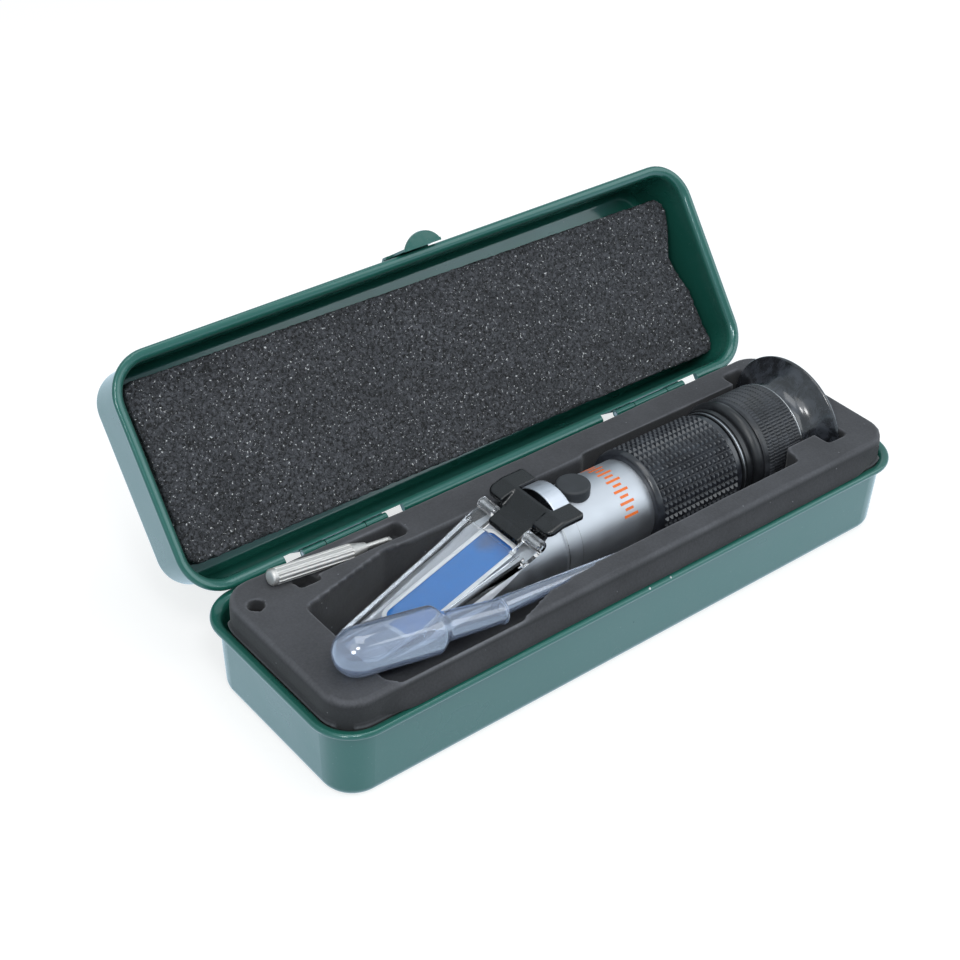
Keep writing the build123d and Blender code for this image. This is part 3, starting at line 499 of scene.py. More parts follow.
@dataclass(frozen=True)
class ClosedCellFoam(Finish):
    """Cross-linked polyethylene foam, die cut: soot grey, fine grained and quite matt."""

    colour: str = "444549"
    # Side colour: painted shade on the faces that turn away from up
    cut: str = "2c2d30"
    # Lighter edges: partly scuffing, partly a painted highlight where the edge catches the light
    edge_scuff_and_highlight: str = "77797f"
    dust: str = "8c8f94"
    grain_mm: float = 0.7
    grain_depth_mm: float = 0.12
    patch_mm: float = 14.0
    lint_mm: float = 4.5

    def wire(self, blank: Blank) -> None:
        """Paint shade on the sides, lighten the edges with scuffing and a painted highlight, cloud the face
        and drop lint on it.

        Args:
            blank: material that takes the nodes.
        """
        tree, place = blank.tree, blank.place
        surface = add_node(tree, "ShaderNodeNewGeometry")
        facing = add_node(tree, "ShaderNodeSeparateXYZ", {"Vector": surface.outputs["Normal"]})
        # Convex edges from pointiness: scuffing and a painted highlight
        ridge = add_node(tree, "ShaderNodeMapRange", {
            "Value": surface.outputs["Pointiness"], "From Min": 0.515, "From Max": 0.57, "To Max": 0.6})
        # Share of facing upward; the rest takes the painted shade of the sides
        flat = add_node(tree, "ShaderNodeMapRange", {
            "Value": facing.outputs["Z"], "From Min": 0.25, "From Max": 0.8})
        grain = add_node(tree, "ShaderNodeTexNoise", {
            "Vector": place, "Scale": per_metre(self.grain_mm), "Detail": 4.0,
            "Roughness": 0.65}).outputs["Fac"]
        patch = add_node(tree, "ShaderNodeTexNoise", {
            "Vector": place, "Scale": per_metre(self.patch_mm), "Detail": 3.0})
        body = add_node(tree, "ShaderNodeMix", {
            "Factor": flat.outputs["Result"], "A": srgb(self.cut), "B": srgb(self.colour)}, data_type="RGBA")
        body = add_node(tree, "ShaderNodeMix", {
            "Factor": ridge.outputs["Result"], "A": body.outputs["Result"], "B": srgb(self.edge_scuff_and_highlight)},
            data_type="RGBA")
        shade = add_node(tree, "ShaderNodeMath", {0: grain, 1: patch.outputs["Fac"]}, operation="ADD")
        shade = add_node(tree, "ShaderNodeMapRange", {
            "Value": shade.outputs["Value"], "From Min": 0.7, "From Max": 1.3, "To Min": 0.78, "To Max": 1.2})
        body = add_node(tree, "ShaderNodeVectorMath", {0: body.outputs["Result"], 1: shade.outputs["Result"]},
                        operation="MULTIPLY")
        lint = add_node(tree, "ShaderNodeTexVoronoi", {
            "Vector": place, "Scale": per_metre(self.lint_mm)}, feature="F1")
        fleck = add_node(tree, "ShaderNodeMapRange", {
            "Value": lint.outputs["Distance"], "From Min": 0.03, "From Max": 0.055,
            "To Min": 0.55, "To Max": 0.0})
        colour = add_node(tree, "ShaderNodeMix", {
            "Factor": fleck.outputs["Result"], "A": body.outputs["Vector"], "B": srgb(self.dust)},
            data_type="RGBA")
        bump = add_node(tree, "ShaderNodeBump", {
            "Height": grain, "Strength": 0.6, "Distance": self.grain_depth_mm * MM})
        feed(tree, blank.shader, {
            "Base Color": colour.outputs["Result"], "Roughness": 0.88, "IOR": 1.45, "Sheen Weight": 0.12,
            "Sheen Roughness": 0.5, "Normal": bump.outputs["Normal"]})


@dataclass(frozen=True)
class SatinAluminium(Finish):
    """Aluminium, blasted and silver anodised: a soft, slightly cool metal."""

    colour: str
    roughness: float
    grain_mm: float = 0.25
    grain_depth_mm: float = 0.02
    smear_mm: float = 6.0

    def wire(self, blank: Blank) -> None:
        """Smear the metal's tone and gloss, and grain its surface.

        Args:
            blank: material that takes the nodes.
        """
        tree, place = blank.tree, blank.place
        grain = add_node(tree, "ShaderNodeTexNoise", {
            "Vector": place, "Scale": per_metre(self.grain_mm), "Detail": 2.0})
        smear = add_node(tree, "ShaderNodeTexNoise", {
            "Vector": place, "Scale": per_metre(self.smear_mm), "Detail": 4.0}).outputs["Fac"]
        rough = add_node(tree, "ShaderNodeMapRange", {
            "Value": smear, "From Min": 0.3, "From Max": 0.7,
            "To Min": self.roughness - 0.05, "To Max": self.roughness + 0.06})
        silver = srgb(self.colour)
        tone = add_node(tree, "ShaderNodeMix", {
            "Factor": smear, "A": scaled(silver, 0.95, 0.95, 0.96), "B": scaled(silver, 1.03, 1.03, 1.03)},
            data_type="RGBA")
        bump = add_node(tree, "ShaderNodeBump", {
            "Height": grain.outputs["Fac"], "Strength": 0.12, "Distance": self.grain_depth_mm * MM})
        feed(tree, blank.shader, {
            "Base Color": tone.outputs["Result"], "Roughness": rough.outputs["Result"], "Metallic": 1.0,
            "Normal": bump.outputs["Normal"]})


@dataclass(frozen=True)
class BrightMetal(Finish):
    """Polished, plated or turned metal: a clean shine with fine lines along its length."""

    colour: str
    roughness: float
    line_mm: float = 0.3
    line_depth_mm: float = 0.01
    line_stretch: Point3 = (0.08, 1.0, 1.0)

    def wire(self, blank: Blank) -> None:
        """Line the metal's gloss and surface.

        Args:
            blank: material that takes the nodes.
        """
        tree = blank.tree
        stretched = add_node(tree, "ShaderNodeMapping", {"Vector": blank.place, "Scale": self.line_stretch})
        lines = add_node(tree, "ShaderNodeTexNoise", {
            "Vector": stretched.outputs["Vector"], "Scale": per_metre(self.line_mm),
            "Detail": 3.0}).outputs["Fac"]
        rough = add_node(tree, "ShaderNodeMapRange", {
            "Value": lines, "From Min": 0.3, "From Max": 0.7,
            "To Min": self.roughness * 0.75, "To Max": self.roughness * 1.4})
        bump = add_node(tree, "ShaderNodeBump", {
            "Height": lines, "Strength": 0.1, "Distance": self.line_depth_mm * MM})
        feed(tree, blank.shader, {
            "Base Color": srgb(self.colour), "Metallic": 1.0, "Roughness": rough.outputs["Result"],
            "Normal": bump.outputs["Normal"]})


@dataclass(frozen=True)
class Moulding(Finish):
    """Moulded ABS, rubber or sealant: an even satin skin with a trace of handling."""

    colour: str
    smear: str
    roughness: float
    grain_mm: float = 0.35
    grain_depth_mm: float = 0.06
    bump: float = 0.15
    coat: float = 0.0
    touch_mm: float = 5.0
    ior: float = 1.54

    def wire(self, blank: Blank) -> None:
        """Lay a film of handling over the plastic and grain its skin.

        Args:
            blank: material that takes the nodes.
        """
        tree, place = blank.tree, blank.place
        grain = add_node(tree, "ShaderNodeTexNoise", {
            "Vector": place, "Scale": per_metre(self.grain_mm), "Detail": 3.0})
        touch = add_node(tree, "ShaderNodeTexNoise", {
            "Vector": place, "Scale": per_metre(self.touch_mm), "Detail": 6.0, "Roughness": 0.65,
            "Distortion": 0.6}).outputs["Fac"]
        film = add_node(tree, "ShaderNodeMapRange", {"Value": touch, "From Min": 0.42, "From Max": 0.68})
        colour = add_node(tree, "ShaderNodeMix", {
            "Factor": film.outputs["Result"], "A": srgb(self.colour), "B": srgb(self.smear)},
            data_type="RGBA")
        rough = add_node(tree, "ShaderNodeMapRange", {
            "Value": touch, "From Min": 0.3, "From Max": 0.7,
            "To Min": self.roughness - 0.08, "To Max": self.roughness + 0.12})
        bump = add_node(tree, "ShaderNodeBump", {
            "Height": grain.outputs["Fac"], "Strength": self.bump, "Distance": self.grain_depth_mm * MM})
        feed(tree, blank.shader, {
            "Base Color": colour.outputs["Result"], "Roughness": rough.outputs["Result"], "IOR": self.ior,
            "Coat Weight": self.coat, "Coat Roughness": 0.08, "Normal": bump.outputs["Normal"]})


@dataclass(frozen=True)
class ClearMoulding(Finish):
    """Clear plastic or glass that light goes through, from water clear to a milky tint.

    Where hazy_over is given, only the plastic over a height is milky: the height in metres
    is measured from the point along the direction.
    """

    colour: str = "f4f8fb"
    roughness: float = 0.0
    ior: float = 1.49
    milk: float = 0.0
    milk_colour: str = "c9d8ee"
    milk_roughness: float = 0.25
    hazy_over: tuple[Vector, Vector, float] | None = None
    haze_fade_mm: float = 0.4
    coat: float = 0.0
    ripple_mm: float = 7.0
    ripple: float = 0.05
    ripple_depth_mm: float = 0.4

    def wire(self, blank: Blank) -> None:
        """Let light through, ripple the surface and mix in the milk.

        Args:
            blank: material that takes the nodes.
        """
        tree = blank.tree
        wave = add_node(tree, "ShaderNodeTexNoise", {
            "Vector": blank.place, "Scale": per_metre(self.ripple_mm), "Detail": 2.0})
        bump = add_node(tree, "ShaderNodeBump", {
            "Height": wave.outputs["Fac"], "Strength": self.ripple,
            "Distance": self.ripple_depth_mm * MM}).outputs["Normal"]
        feed(tree, blank.shader, {
            "Base Color": srgb(self.colour), "Transmission Weight": 1.0, "Roughness": self.roughness,
            "IOR": self.ior, "Coat Weight": self.coat, "Normal": bump})
        if self.milk > 0:
            self._mix_milk(blank, bump)

    def _mix_milk(self, blank: Blank, bump: bpy.types.NodeSocket) -> None:
        """Mix a hazy white body into the clear shader.

        Args:
            blank: material that takes the nodes.
            bump: the surface's rippled normal.
        """
        tree = blank.tree
        haze = add_node(tree, "ShaderNodeBsdfPrincipled", {
            "Base Color": srgb(self.milk_colour), "Roughness": self.milk_roughness, "IOR": self.ior,
            "Normal": bump})
        through = add_node(tree, "ShaderNodeBsdfTranslucent", {"Color": srgb(self.milk_colour)})
        body = add_node(tree, "ShaderNodeMixShader", {
            0: 0.5, 1: haze.outputs["BSDF"], 2: through.outputs["BSDF"]})
        share: float | bpy.types.NodeSocket = self.milk
        if self.hazy_over:
            point, rise, height = self.hazy_over
            away = add_node(tree, "ShaderNodeVectorMath", {0: blank.place, 1: point}, operation="SUBTRACT")
            level = add_node(tree, "ShaderNodeVectorMath", {0: away.outputs["Vector"], 1: rise},
                             operation="DOT_PRODUCT")
            share = add_node(tree, "ShaderNodeMapRange", {
                "Value": level.outputs["Value"], "From Min": height,
                "From Max": height + self.haze_fade_mm * MM, "To Max": self.milk}).outputs["Result"]
        mixed = add_node(tree, "ShaderNodeMixShader", {
            0: share, 1: blank.shader.outputs["BSDF"], 2: body.outputs["Shader"]})
        feed(tree, blank.output, {"Surface": mixed.outputs["Shader"]})


@dataclass(frozen=True)
class BluePrismGlass(Finish):
    """Optical glass over a blue filter: even strong blue with a polished face and a ground end; painted shade
    darkens its upper end and a painted reflection lies on its face.
    """

    shaded_end_x: float
    pale_x: float
    # Darker blue: painted shade at the prism's upper end
    shaded_blue: str = "204c96"
    pale: str = "2a80d0"
    # Greyish patch: a painted reflection on the prism's face
    painted_reflection: str = "616c84"
    ground: str = "9aa0a6"
    shaded_share: float = 0.22
    ground_from_mm: float = -61.2
    painted_reflection_at_mm: Point3 = (-28.6, 2.6, 29.6)
    painted_reflection_reach_mm: Point2 = (0.3, 5.0)

    def wire(self, blank: Blank) -> None:
        """Darken the blue at the upper end with painted shade, add a painted reflection and grind the other
        end.

        Args:
            blank: material that takes the nodes.
        """
        tree, place = blank.tree, blank.place
        along = add_node(tree, "ShaderNodeSeparateXYZ", {"Vector": place}).outputs["X"]
        # Painted shade: the blue darkens over the last share towards the upper end
        clear_from = self.shaded_end_x + self.shaded_share * (self.pale_x - self.shaded_end_x)
        fade = add_node(tree, "ShaderNodeMapRange", {
            "Value": along, "From Min": clear_from, "From Max": self.shaded_end_x}, interpolation_type="SMOOTHSTEP")
        # Painted reflection: a soft greyish patch round one point
        spot = add_node(tree, "ShaderNodeVectorMath", {
            0: place, 1: [MM * c for c in self.painted_reflection_at_mm]}, operation="DISTANCE")
        haze = add_node(tree, "ShaderNodeMapRange", {
            "Value": spot.outputs["Value"], "From Min": self.painted_reflection_reach_mm[0] * MM,
            "From Max": self.painted_reflection_reach_mm[1] * MM, "To Min": 0.6, "To Max": 0.0},
            interpolation_type="SMOOTHSTEP")
        tip = add_node(tree, "ShaderNodeMapRange", {
            "Value": along, "From Min": self.ground_from_mm * MM,
            "From Max": (self.ground_from_mm - 0.2) * MM})
        colour: Colour | bpy.types.NodeSocket = srgb(self.pale)
        for share, layer in ((fade, self.shaded_blue), (haze, self.painted_reflection), (tip, self.ground)):
            colour = add_node(tree, "ShaderNodeMix", {
                "Factor": share.outputs["Result"], "A": colour, "B": srgb(layer)},
                data_type="RGBA").outputs["Result"]
        feed(tree, blank.shader, {"Base Color": colour, "Roughness": 0.12, "IOR": 1.45})


@dataclass(frozen=True)
class PrintingInk(Finish):
    """Screen-printed orange ink, a thin satin film."""

    colour: str = "f0762a"
    wear_mm: float = 0.6

    def wire(self, blank: Blank) -> None:
        """Print the orange a little unevenly.

        Args:
            blank: material that takes the nodes.
        """
        wear = add_node(blank.tree, "ShaderNodeTexNoise", {
            "Vector": blank.place, "Scale": per_metre(self.wear_mm), "Detail": 3.0})
        ink = srgb(self.colour)
        colour = add_node(blank.tree, "ShaderNodeMix", {
            "Factor": wear.outputs["Fac"], "A": scaled(ink, 0.85, 0.8, 0.8), "B": scaled(ink, 1.1, 1.1, 1.1)},
            data_type="RGBA")
        feed(blank.tree, blank.shader, {"Base Color": colour.outputs["Result"], "Roughness": 0.38})


class Workshop:
    """Every finish of the set, built once."""

    def __init__(self) -> None:
        """Build the finishes that more than one node can take."""
        self.enamel = StoveEnamel().build("stove_enamel")
        self.enamel_rubbed = StoveEnamel(
            rubbed_at_mm=((-1.1, -33.2, 24.3), (6.7, -33.2, 24.2))).build("stove_enamel_rubbed")
        self.sponge = OpenCellSponge().build("open_cell_sponge")
        self.foam = ClosedCellFoam().build("closed_cell_foam")
        self.ink = PrintingInk().build("orange_ink")
        self.metals()
        self.mouldings()
        self.clear_parts()

    def metals(self) -> None:
        """Build the bare, plated and anodised metals."""
        # The anodised barrel spreads its highlight wide, and the lacquered casting a little less
        self.anodised = SatinAluminium("c6cad0", 0.5).build("silver_anodised_aluminium")
        self.casting = SatinAluminium("c9cdd3", 0.46).build("silver_lacquered_casting")
        # Cut with a polished tool: a thin bright line
        self.bright_ring = BrightMetal("a9adb2", 0.38).build("bright_cut_aluminium")
        self.spring_steel = BrightMetal("d6dbe4", 0.42).build("polished_spring_steel")
        # Barrel plated: a warm white with broad, soft highlights
        self.nickel = BrightMetal("d3d1ce", 0.5).build("nickel_plate")
        self.turned_steel = BrightMetal("aeb0b2", 0.28).build("turned_steel")
        self.brass = BrightMetal("c9a45c", 0.25).build("turned_brass")

    def mouldings(self) -> None:
        """Build the black plastics and rubbers, and the white sealant."""
        # Moulded in polished tools: the saddle is black with sharp highlights
        self.black_abs = Moulding("08090b", "131519", 0.26, coat=0.15).build("black_abs")
        self.black_anodised = Moulding("1d1f22", "26282c", 0.36).build("black_anodised")
        self.grip_rubber = Moulding("212329", "363a41", 0.32, coat=0.4).build("nitrile_rubber")
        # Soft rubber shines like wet leather, in slow waves
        self.cup_rubber = Moulding(
            "1c1e22", "42464e", 0.24, grain_mm=0.8, bump=0.4, coat=0.8).build("soft_rubber")
        self.cap_rubber = Moulding("2a2d31", "34373c", 0.6).build("matt_rubber")
        self.knurled_abs = Moulding("26282c", "3c3f45", 0.4).build("knurled_black_abs")
        self.seal = Moulding("f6f8fa", "ffffff", 0.4).build("white_sealant")

    def clear_parts(self) -> None:
        """Build the cover plate's acrylic, the lenses' glass and the pipette's polyethylene."""
        slope = math.radians(BEVEL_SLOPE_DEG)
        upward = Vector((-math.sin(slope), 0.0, math.cos(slope)))
        # The pane is water clear, and the rails that stand over it are a little milky
        self.acrylic = ClearMoulding(
            roughness=0.02, milk=0.12, milk_colour="eef2f8",
            hazy_over=(Vector(KNEE_MM) * MM, upward, PANE_TOP_MM * MM)).build("clear_acrylic")
        self.lens_glass = ClearMoulding(colour="e9f3f4", ior=1.52, ripple=0.0).build("coated_crown_glass")
        # Blown and unpigmented: bluish milk with a waxy shine
        self.polyethylene = ClearMoulding(
            colour="eaf2fd", roughness=0.05, ior=1.51, milk=0.12, milk_colour="cbdcf8", coat=1.0,
            ripple=0.06).build("low_density_polyethylene")


@dataclass
class LidPlace:
    """Where the lid stands: turns points between the closed lid and the open one."""

    hinge: dict
    turn: Matrix = field(init=False)
    back: Matrix = field(init=False)

    def __post_init__(self) -> None:
        """Work out the turn from the joint's range."""
        pivot = Vector(self.hinge["pos_m"])
        axis = Vector(self.hinge["axis"])
        closed = math.radians(self.hinge["range_deg"][0])
        shift = Matrix.Translation(pivot)
        self.back = shift @ Matrix.Rotation(closed, 4, axis) @ shift.inverted()
        self.turn = self.back.inverted()


def voxel_copy(source: bpy.types.Object, name: str, voxel_mm: float, rounds: int) -> bpy.types.Object:
    """Copy a node's mesh as an even, softened grid of small faces.

    Args:
        source: the CAD node.
        name: the new piece's name.
        voxel_mm: side of the grid's faces.
        rounds: passes of smoothing.

    Returns:
        The new piece.
    """
    made = bpy.data.objects.new(name, source.data.copy())
    bpy.context.scene.collection.objects.link(made)
    made.data.materials.clear()
    remesh = made.modifiers.new("even_grid", "REMESH")
    remesh.mode = "VOXEL"
    remesh.voxel_size = voxel_mm * MM
    soften = made.modifiers.new("soft_edges", "SMOOTH")
    soften.factor = 0.5
    soften.iterations = rounds
    graph = bpy.context.evaluated_depsgraph_get()
    mesh = bpy.data.meshes.new_from_object(made.evaluated_get(graph))
    made.modifiers.clear()
    made.data = mesh
    made.data.shade_smooth()
    return made


def read_mesh(piece: bpy.types.Object, what: str) -> np.ndarray:
    """Read a vector at each point of a mesh.

    Args:
        piece: the mesh object.
        what: "co" for places in metres, or "normal".

    Returns:
        One row for each point.
    """
    flat = np.zeros(len(piece.data.vertices) * 3, np.float32)
    piece.data.vertices.foreach_get(what, flat)
    return flat.reshape(-1, 3).astype(float)


def points_of(piece: bpy.types.Object) -> np.ndarray:
    """A mesh's points, in millimetres."""
    return read_mesh(piece, "co") / MM


def set_points(piece: bpy.types.Object, points: np.ndarray) -> None:
    """Move a mesh's points to new places, in millimetres."""
    piece.data.vertices.foreach_set("co", (points * MM).astype(np.float32).ravel())
    piece.data.update()


def bell(value: np.ndarray, middle: float, width: float) -> np.ndarray:
    """Smooth hump of height 1 about a middle."""
    return np.exp(-((value - middle) / width) ** 2)


def ramp(value: np.ndarray, low: float, high: float) -> np.ndarray:
    """Smooth step from 0 at low to 1 at high."""
    t = np.clip((value - low) / (high - low), 0, 1)
    return t * t * (3 - 2 * t)


@dataclass(frozen=True)
class Relief:
    """Smooth random relief: distance between its humps, their height, and a shift that gives another one."""

    size_mm: float
    height_mm: float
    seed: float

    def at(self, points: np.ndarray) -> np.ndarray:
        """Work out the relief.

        Args:
            points: places in millimetres.

        Returns:
            Height at each point, in millimetres.
        """
        size = self.size_mm
        places = ((p[0] / size + self.seed, p[1] / size, p[2] / size) for p in points)
        return np.array([noise.noise(Vector(place)) for place in places]) * self.height_mm


@dataclass
class Assembly:
    """A part of the set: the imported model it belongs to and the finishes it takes."""

    frame: dict
    workshop: Workshop

    def dress_nodes(self, finishes: dict[str, bpy.types.Material]) -> None:
        """Give each named CAD node its finish."""
        for name, material in finishes.items():
            dress(self.frame["nodes"][name], material)


@dataclass
class SteelCase(Assembly):
    """Pressed steel case: trays, tin hinges and the spring clasp."""

    painted: tuple[str, ...] = ("lid_tray", "lid_clasp", "clasp_rivets", "base_leaf_left", "base_leaf_right",
                                "lid_leaf_left", "lid_leaf_right")

    def build(self) -> None:
        """Dress the CAD nodes in enamel and steel."""
        shop = self.workshop
        self.dress_nodes(dict.fromkeys(self.painted, shop.enamel) | {
            "base_tray": shop.enamel_rubbed, "hinge_pin_left": shop.turned_steel,
            "hinge_pin_right": shop.turned_steel})
        log.info("steel case: trays, hinges and clasp dressed")


@dataclass
class Padding(Assembly):
    """Die-cut foam in the base and the sponge glued in the lid."""

    lid: LidPlace
    closed_share: float = 0.06

    foam_voxel_mm: float = 0.8
    foam_waves: tuple[Relief, Relief] = (Relief(16.0, 0.22, 3.1), Relief(3.5, 0.06, 7.7))
    side_from_mm: Point2 = (97.5, 28.8)
    near_end_mm: Point2 = (85.0, 97.0)
    near_side_mm: Point2 = (20.0, 28.0)
    swell_mm: float = 0.1
    swell_heights_mm: tuple[Point2, Point2] = ((0.4, 2.2), (4.5, 7.6))
    foot_mm: float = 0.9
    foot_level_mm: float = -0.2
    foot_half_mm: float = 0.7

    # Share of the bulge and height over the rim, from the foam's side round to it again
    lip_section: tuple[Point2, ...] = (
        (-0.3, -1.5), (0.0, -1.6), (0.45, -0.8), (0.8, -0.1), (1.0, 0.2), (1.0, 0.6), (0.88, 1.4),
        (0.66, 2.4), (0.4, 3.5), (0.16, 4.6), (0.0, 5.4), (-0.3, 5.4))
    lip_mm: float = 2.3
    lip_sunk_mm: float = 0.1
    lip_span_mm: Point2 = (-90.0, 93.0)
    lip_fade_mm: float = 12.0
    lip_steps: int = 90
    lip_wave: Relief = Relief(11.0, 0.12, 4.2)

    sponge_voxel_mm: float = 0.65
    face_depths_mm: Point2 = (0.5, 5.0)
    torn_mm: float = 16.0
    instrument_y_mm: Point2 = (-1.0, 9.0)
    grip_span_mm: Point2 = (30.0, 60.0)
    grip_dent_mm: float = 1.2
    saddle_x_mm: Point2 = (-14.0, 12.0)
    saddle_dent_mm: float = 1.1
    bulb_x_mm: Point2 = (-78.0, 16.0)
    bulb_y_mm: Point2 = (-20.0, 7.0)
    bulb_dent_mm: float = 1.6
    sag: Relief = Relief(22.0, 0.7, 1.3)
    pits: tuple[Relief, Relief] = (Relief(1.1, 0.34, 5.5), Relief(2.3, 0.16, 2.5))

    def build(self) -> None:
        """Build the foam, its lip over the rim and the sponge."""
        self.base_foam()
        self.foam_lip()
        self.lid_sponge()

    def base_foam(self) -> None:
        """Foam block with softened edges, swollen a little over the rim."""
        piece = voxel_copy(self.frame["nodes"]["base_foam"], "die_cut_foam", self.foam_voxel_mm, 2)
        points = points_of(piece)
        normals = read_mesh(piece, "normal")
        x, y, z = points.T.copy()
        rim_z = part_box("base_tray")[1].z / MM
        wander = sum(wave.at(points) for wave in self.foam_waves)
        outward = np.array(normals)
        outward[:, 2] = 0
        starts, ends = ([rim_z + height for height in pair] for pair in self.swell_heights_mm)
        proud = ramp(z, *starts) * (1 - ramp(z, *ends))
        outer = np.maximum(np.abs(x) > self.side_from_mm[0], np.abs(y) > self.side_from_mm[1]).astype(float)
        above = ramp(z, rim_z - 3.0, rim_z)
        near = np.maximum(ramp(-x, *self.near_end_mm), ramp(-y, *self.near_side_mm))
        foot = self.foot_mm * bell(z, rim_z + self.foot_level_mm, self.foot_half_mm)
        points += normals * (wander * above * (1 - outer))[:, None]
        points += outward * ((self.swell_mm * proud + foot) * outer * near)[:, None]
        set_points(piece, points)
        install(piece, self.workshop.foam, "case", "base_foam")
        log.info("die-cut foam: %d faces", len(piece.data.polygons))

    def foam_lip(self) -> None:
        """Foam that bulges over the front rim while the lid is open; the lid presses the real foam flat,
        which this piece does not follow.
        """
        rim_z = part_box("base_tray")[1].z / MM
        face_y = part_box("base_foam")[0].y / MM
        first, last = self.lip_span_mm
        verts = []
        for n in range(self.lip_steps + 1):
            x = first + (last - first) * n / self.lip_steps
            fade = min(1.0, (x - first) / self.lip_fade_mm, (last - x) / self.lip_fade_mm)
            wander = self.lip_wave.height_mm * noise.noise(
                Vector((x / self.lip_wave.size_mm, self.lip_wave.seed, 0.0)))
            proud = (self.lip_mm + wander) * fade * fade * (3 - 2 * fade) - self.lip_sunk_mm
            for share, height in self.lip_section:
                out = proud * share if share > 0 else 2 * share
                verts.append((x, face_y - out, rim_z + height))
        row = len(self.lip_section)
        faces = band_faces(self.lip_steps + 1, row, flipped=True)
        faces.append(tuple(reversed(range(row))))
        faces.append(tuple(self.lip_steps * row + k for k in range(row)))
        piece = new_mesh("foam_lip", verts, faces, 60.0)
        install(piece, self.workshop.foam, "case")
        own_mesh(piece)
        log.info("foam lip: %d faces", len(faces))

    def lid_sponge(self) -> None:
        piece = voxel_copy(self.frame["nodes"]["lid_sponge"], "lid_sponge_pad", self.sponge_voxel_mm, 1)
        piece.data.transform(self.lid.back)
        points = points_of(piece)
        normals = read_mesh(piece, "normal")
        x, y, z = points.T.copy()
        face = 1 - ramp(z, *(z.min() + depth for depth in self.face_depths_mm))
        # The right end is torn in two shallow bites
        torn = bell(y, -4.0, 9.0) * 3.6 + bell(y, 14.0, 7.0) * 1.2
        points[:, 0] -= ramp(x, x.max() - self.torn_mm, x.max()) * torn * (0.6 + 0.4 * face)
        x = points[:, 0]
        # Pressed in by the grip and the saddle, then by the pipette's bulb
        grip = self.grip_dent_mm * ramp(x, *self.grip_span_mm)
        saddle = self.saddle_dent_mm * bell(x, *self.saddle_x_mm)
        dent = bell(y, *self.instrument_y_mm) * (grip + saddle)
        dent += self.bulb_dent_mm * bell(x, *self.bulb_x_mm) * bell(y, *self.bulb_y_mm)
        dent += self.sag.at(points)
        points[:, 2] += face * dent
        depth = sum(pit.at(points) for pit in self.pits)
        points += normals * depth[:, None]
        set_points(piece, points)
        piece.data.transform(self.lid.turn)
        install(piece, self.workshop.sponge, "lid", "lid_sponge")
        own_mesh(piece)
        log.info("lid sponge: %d faces", len(piece.data.polygons))


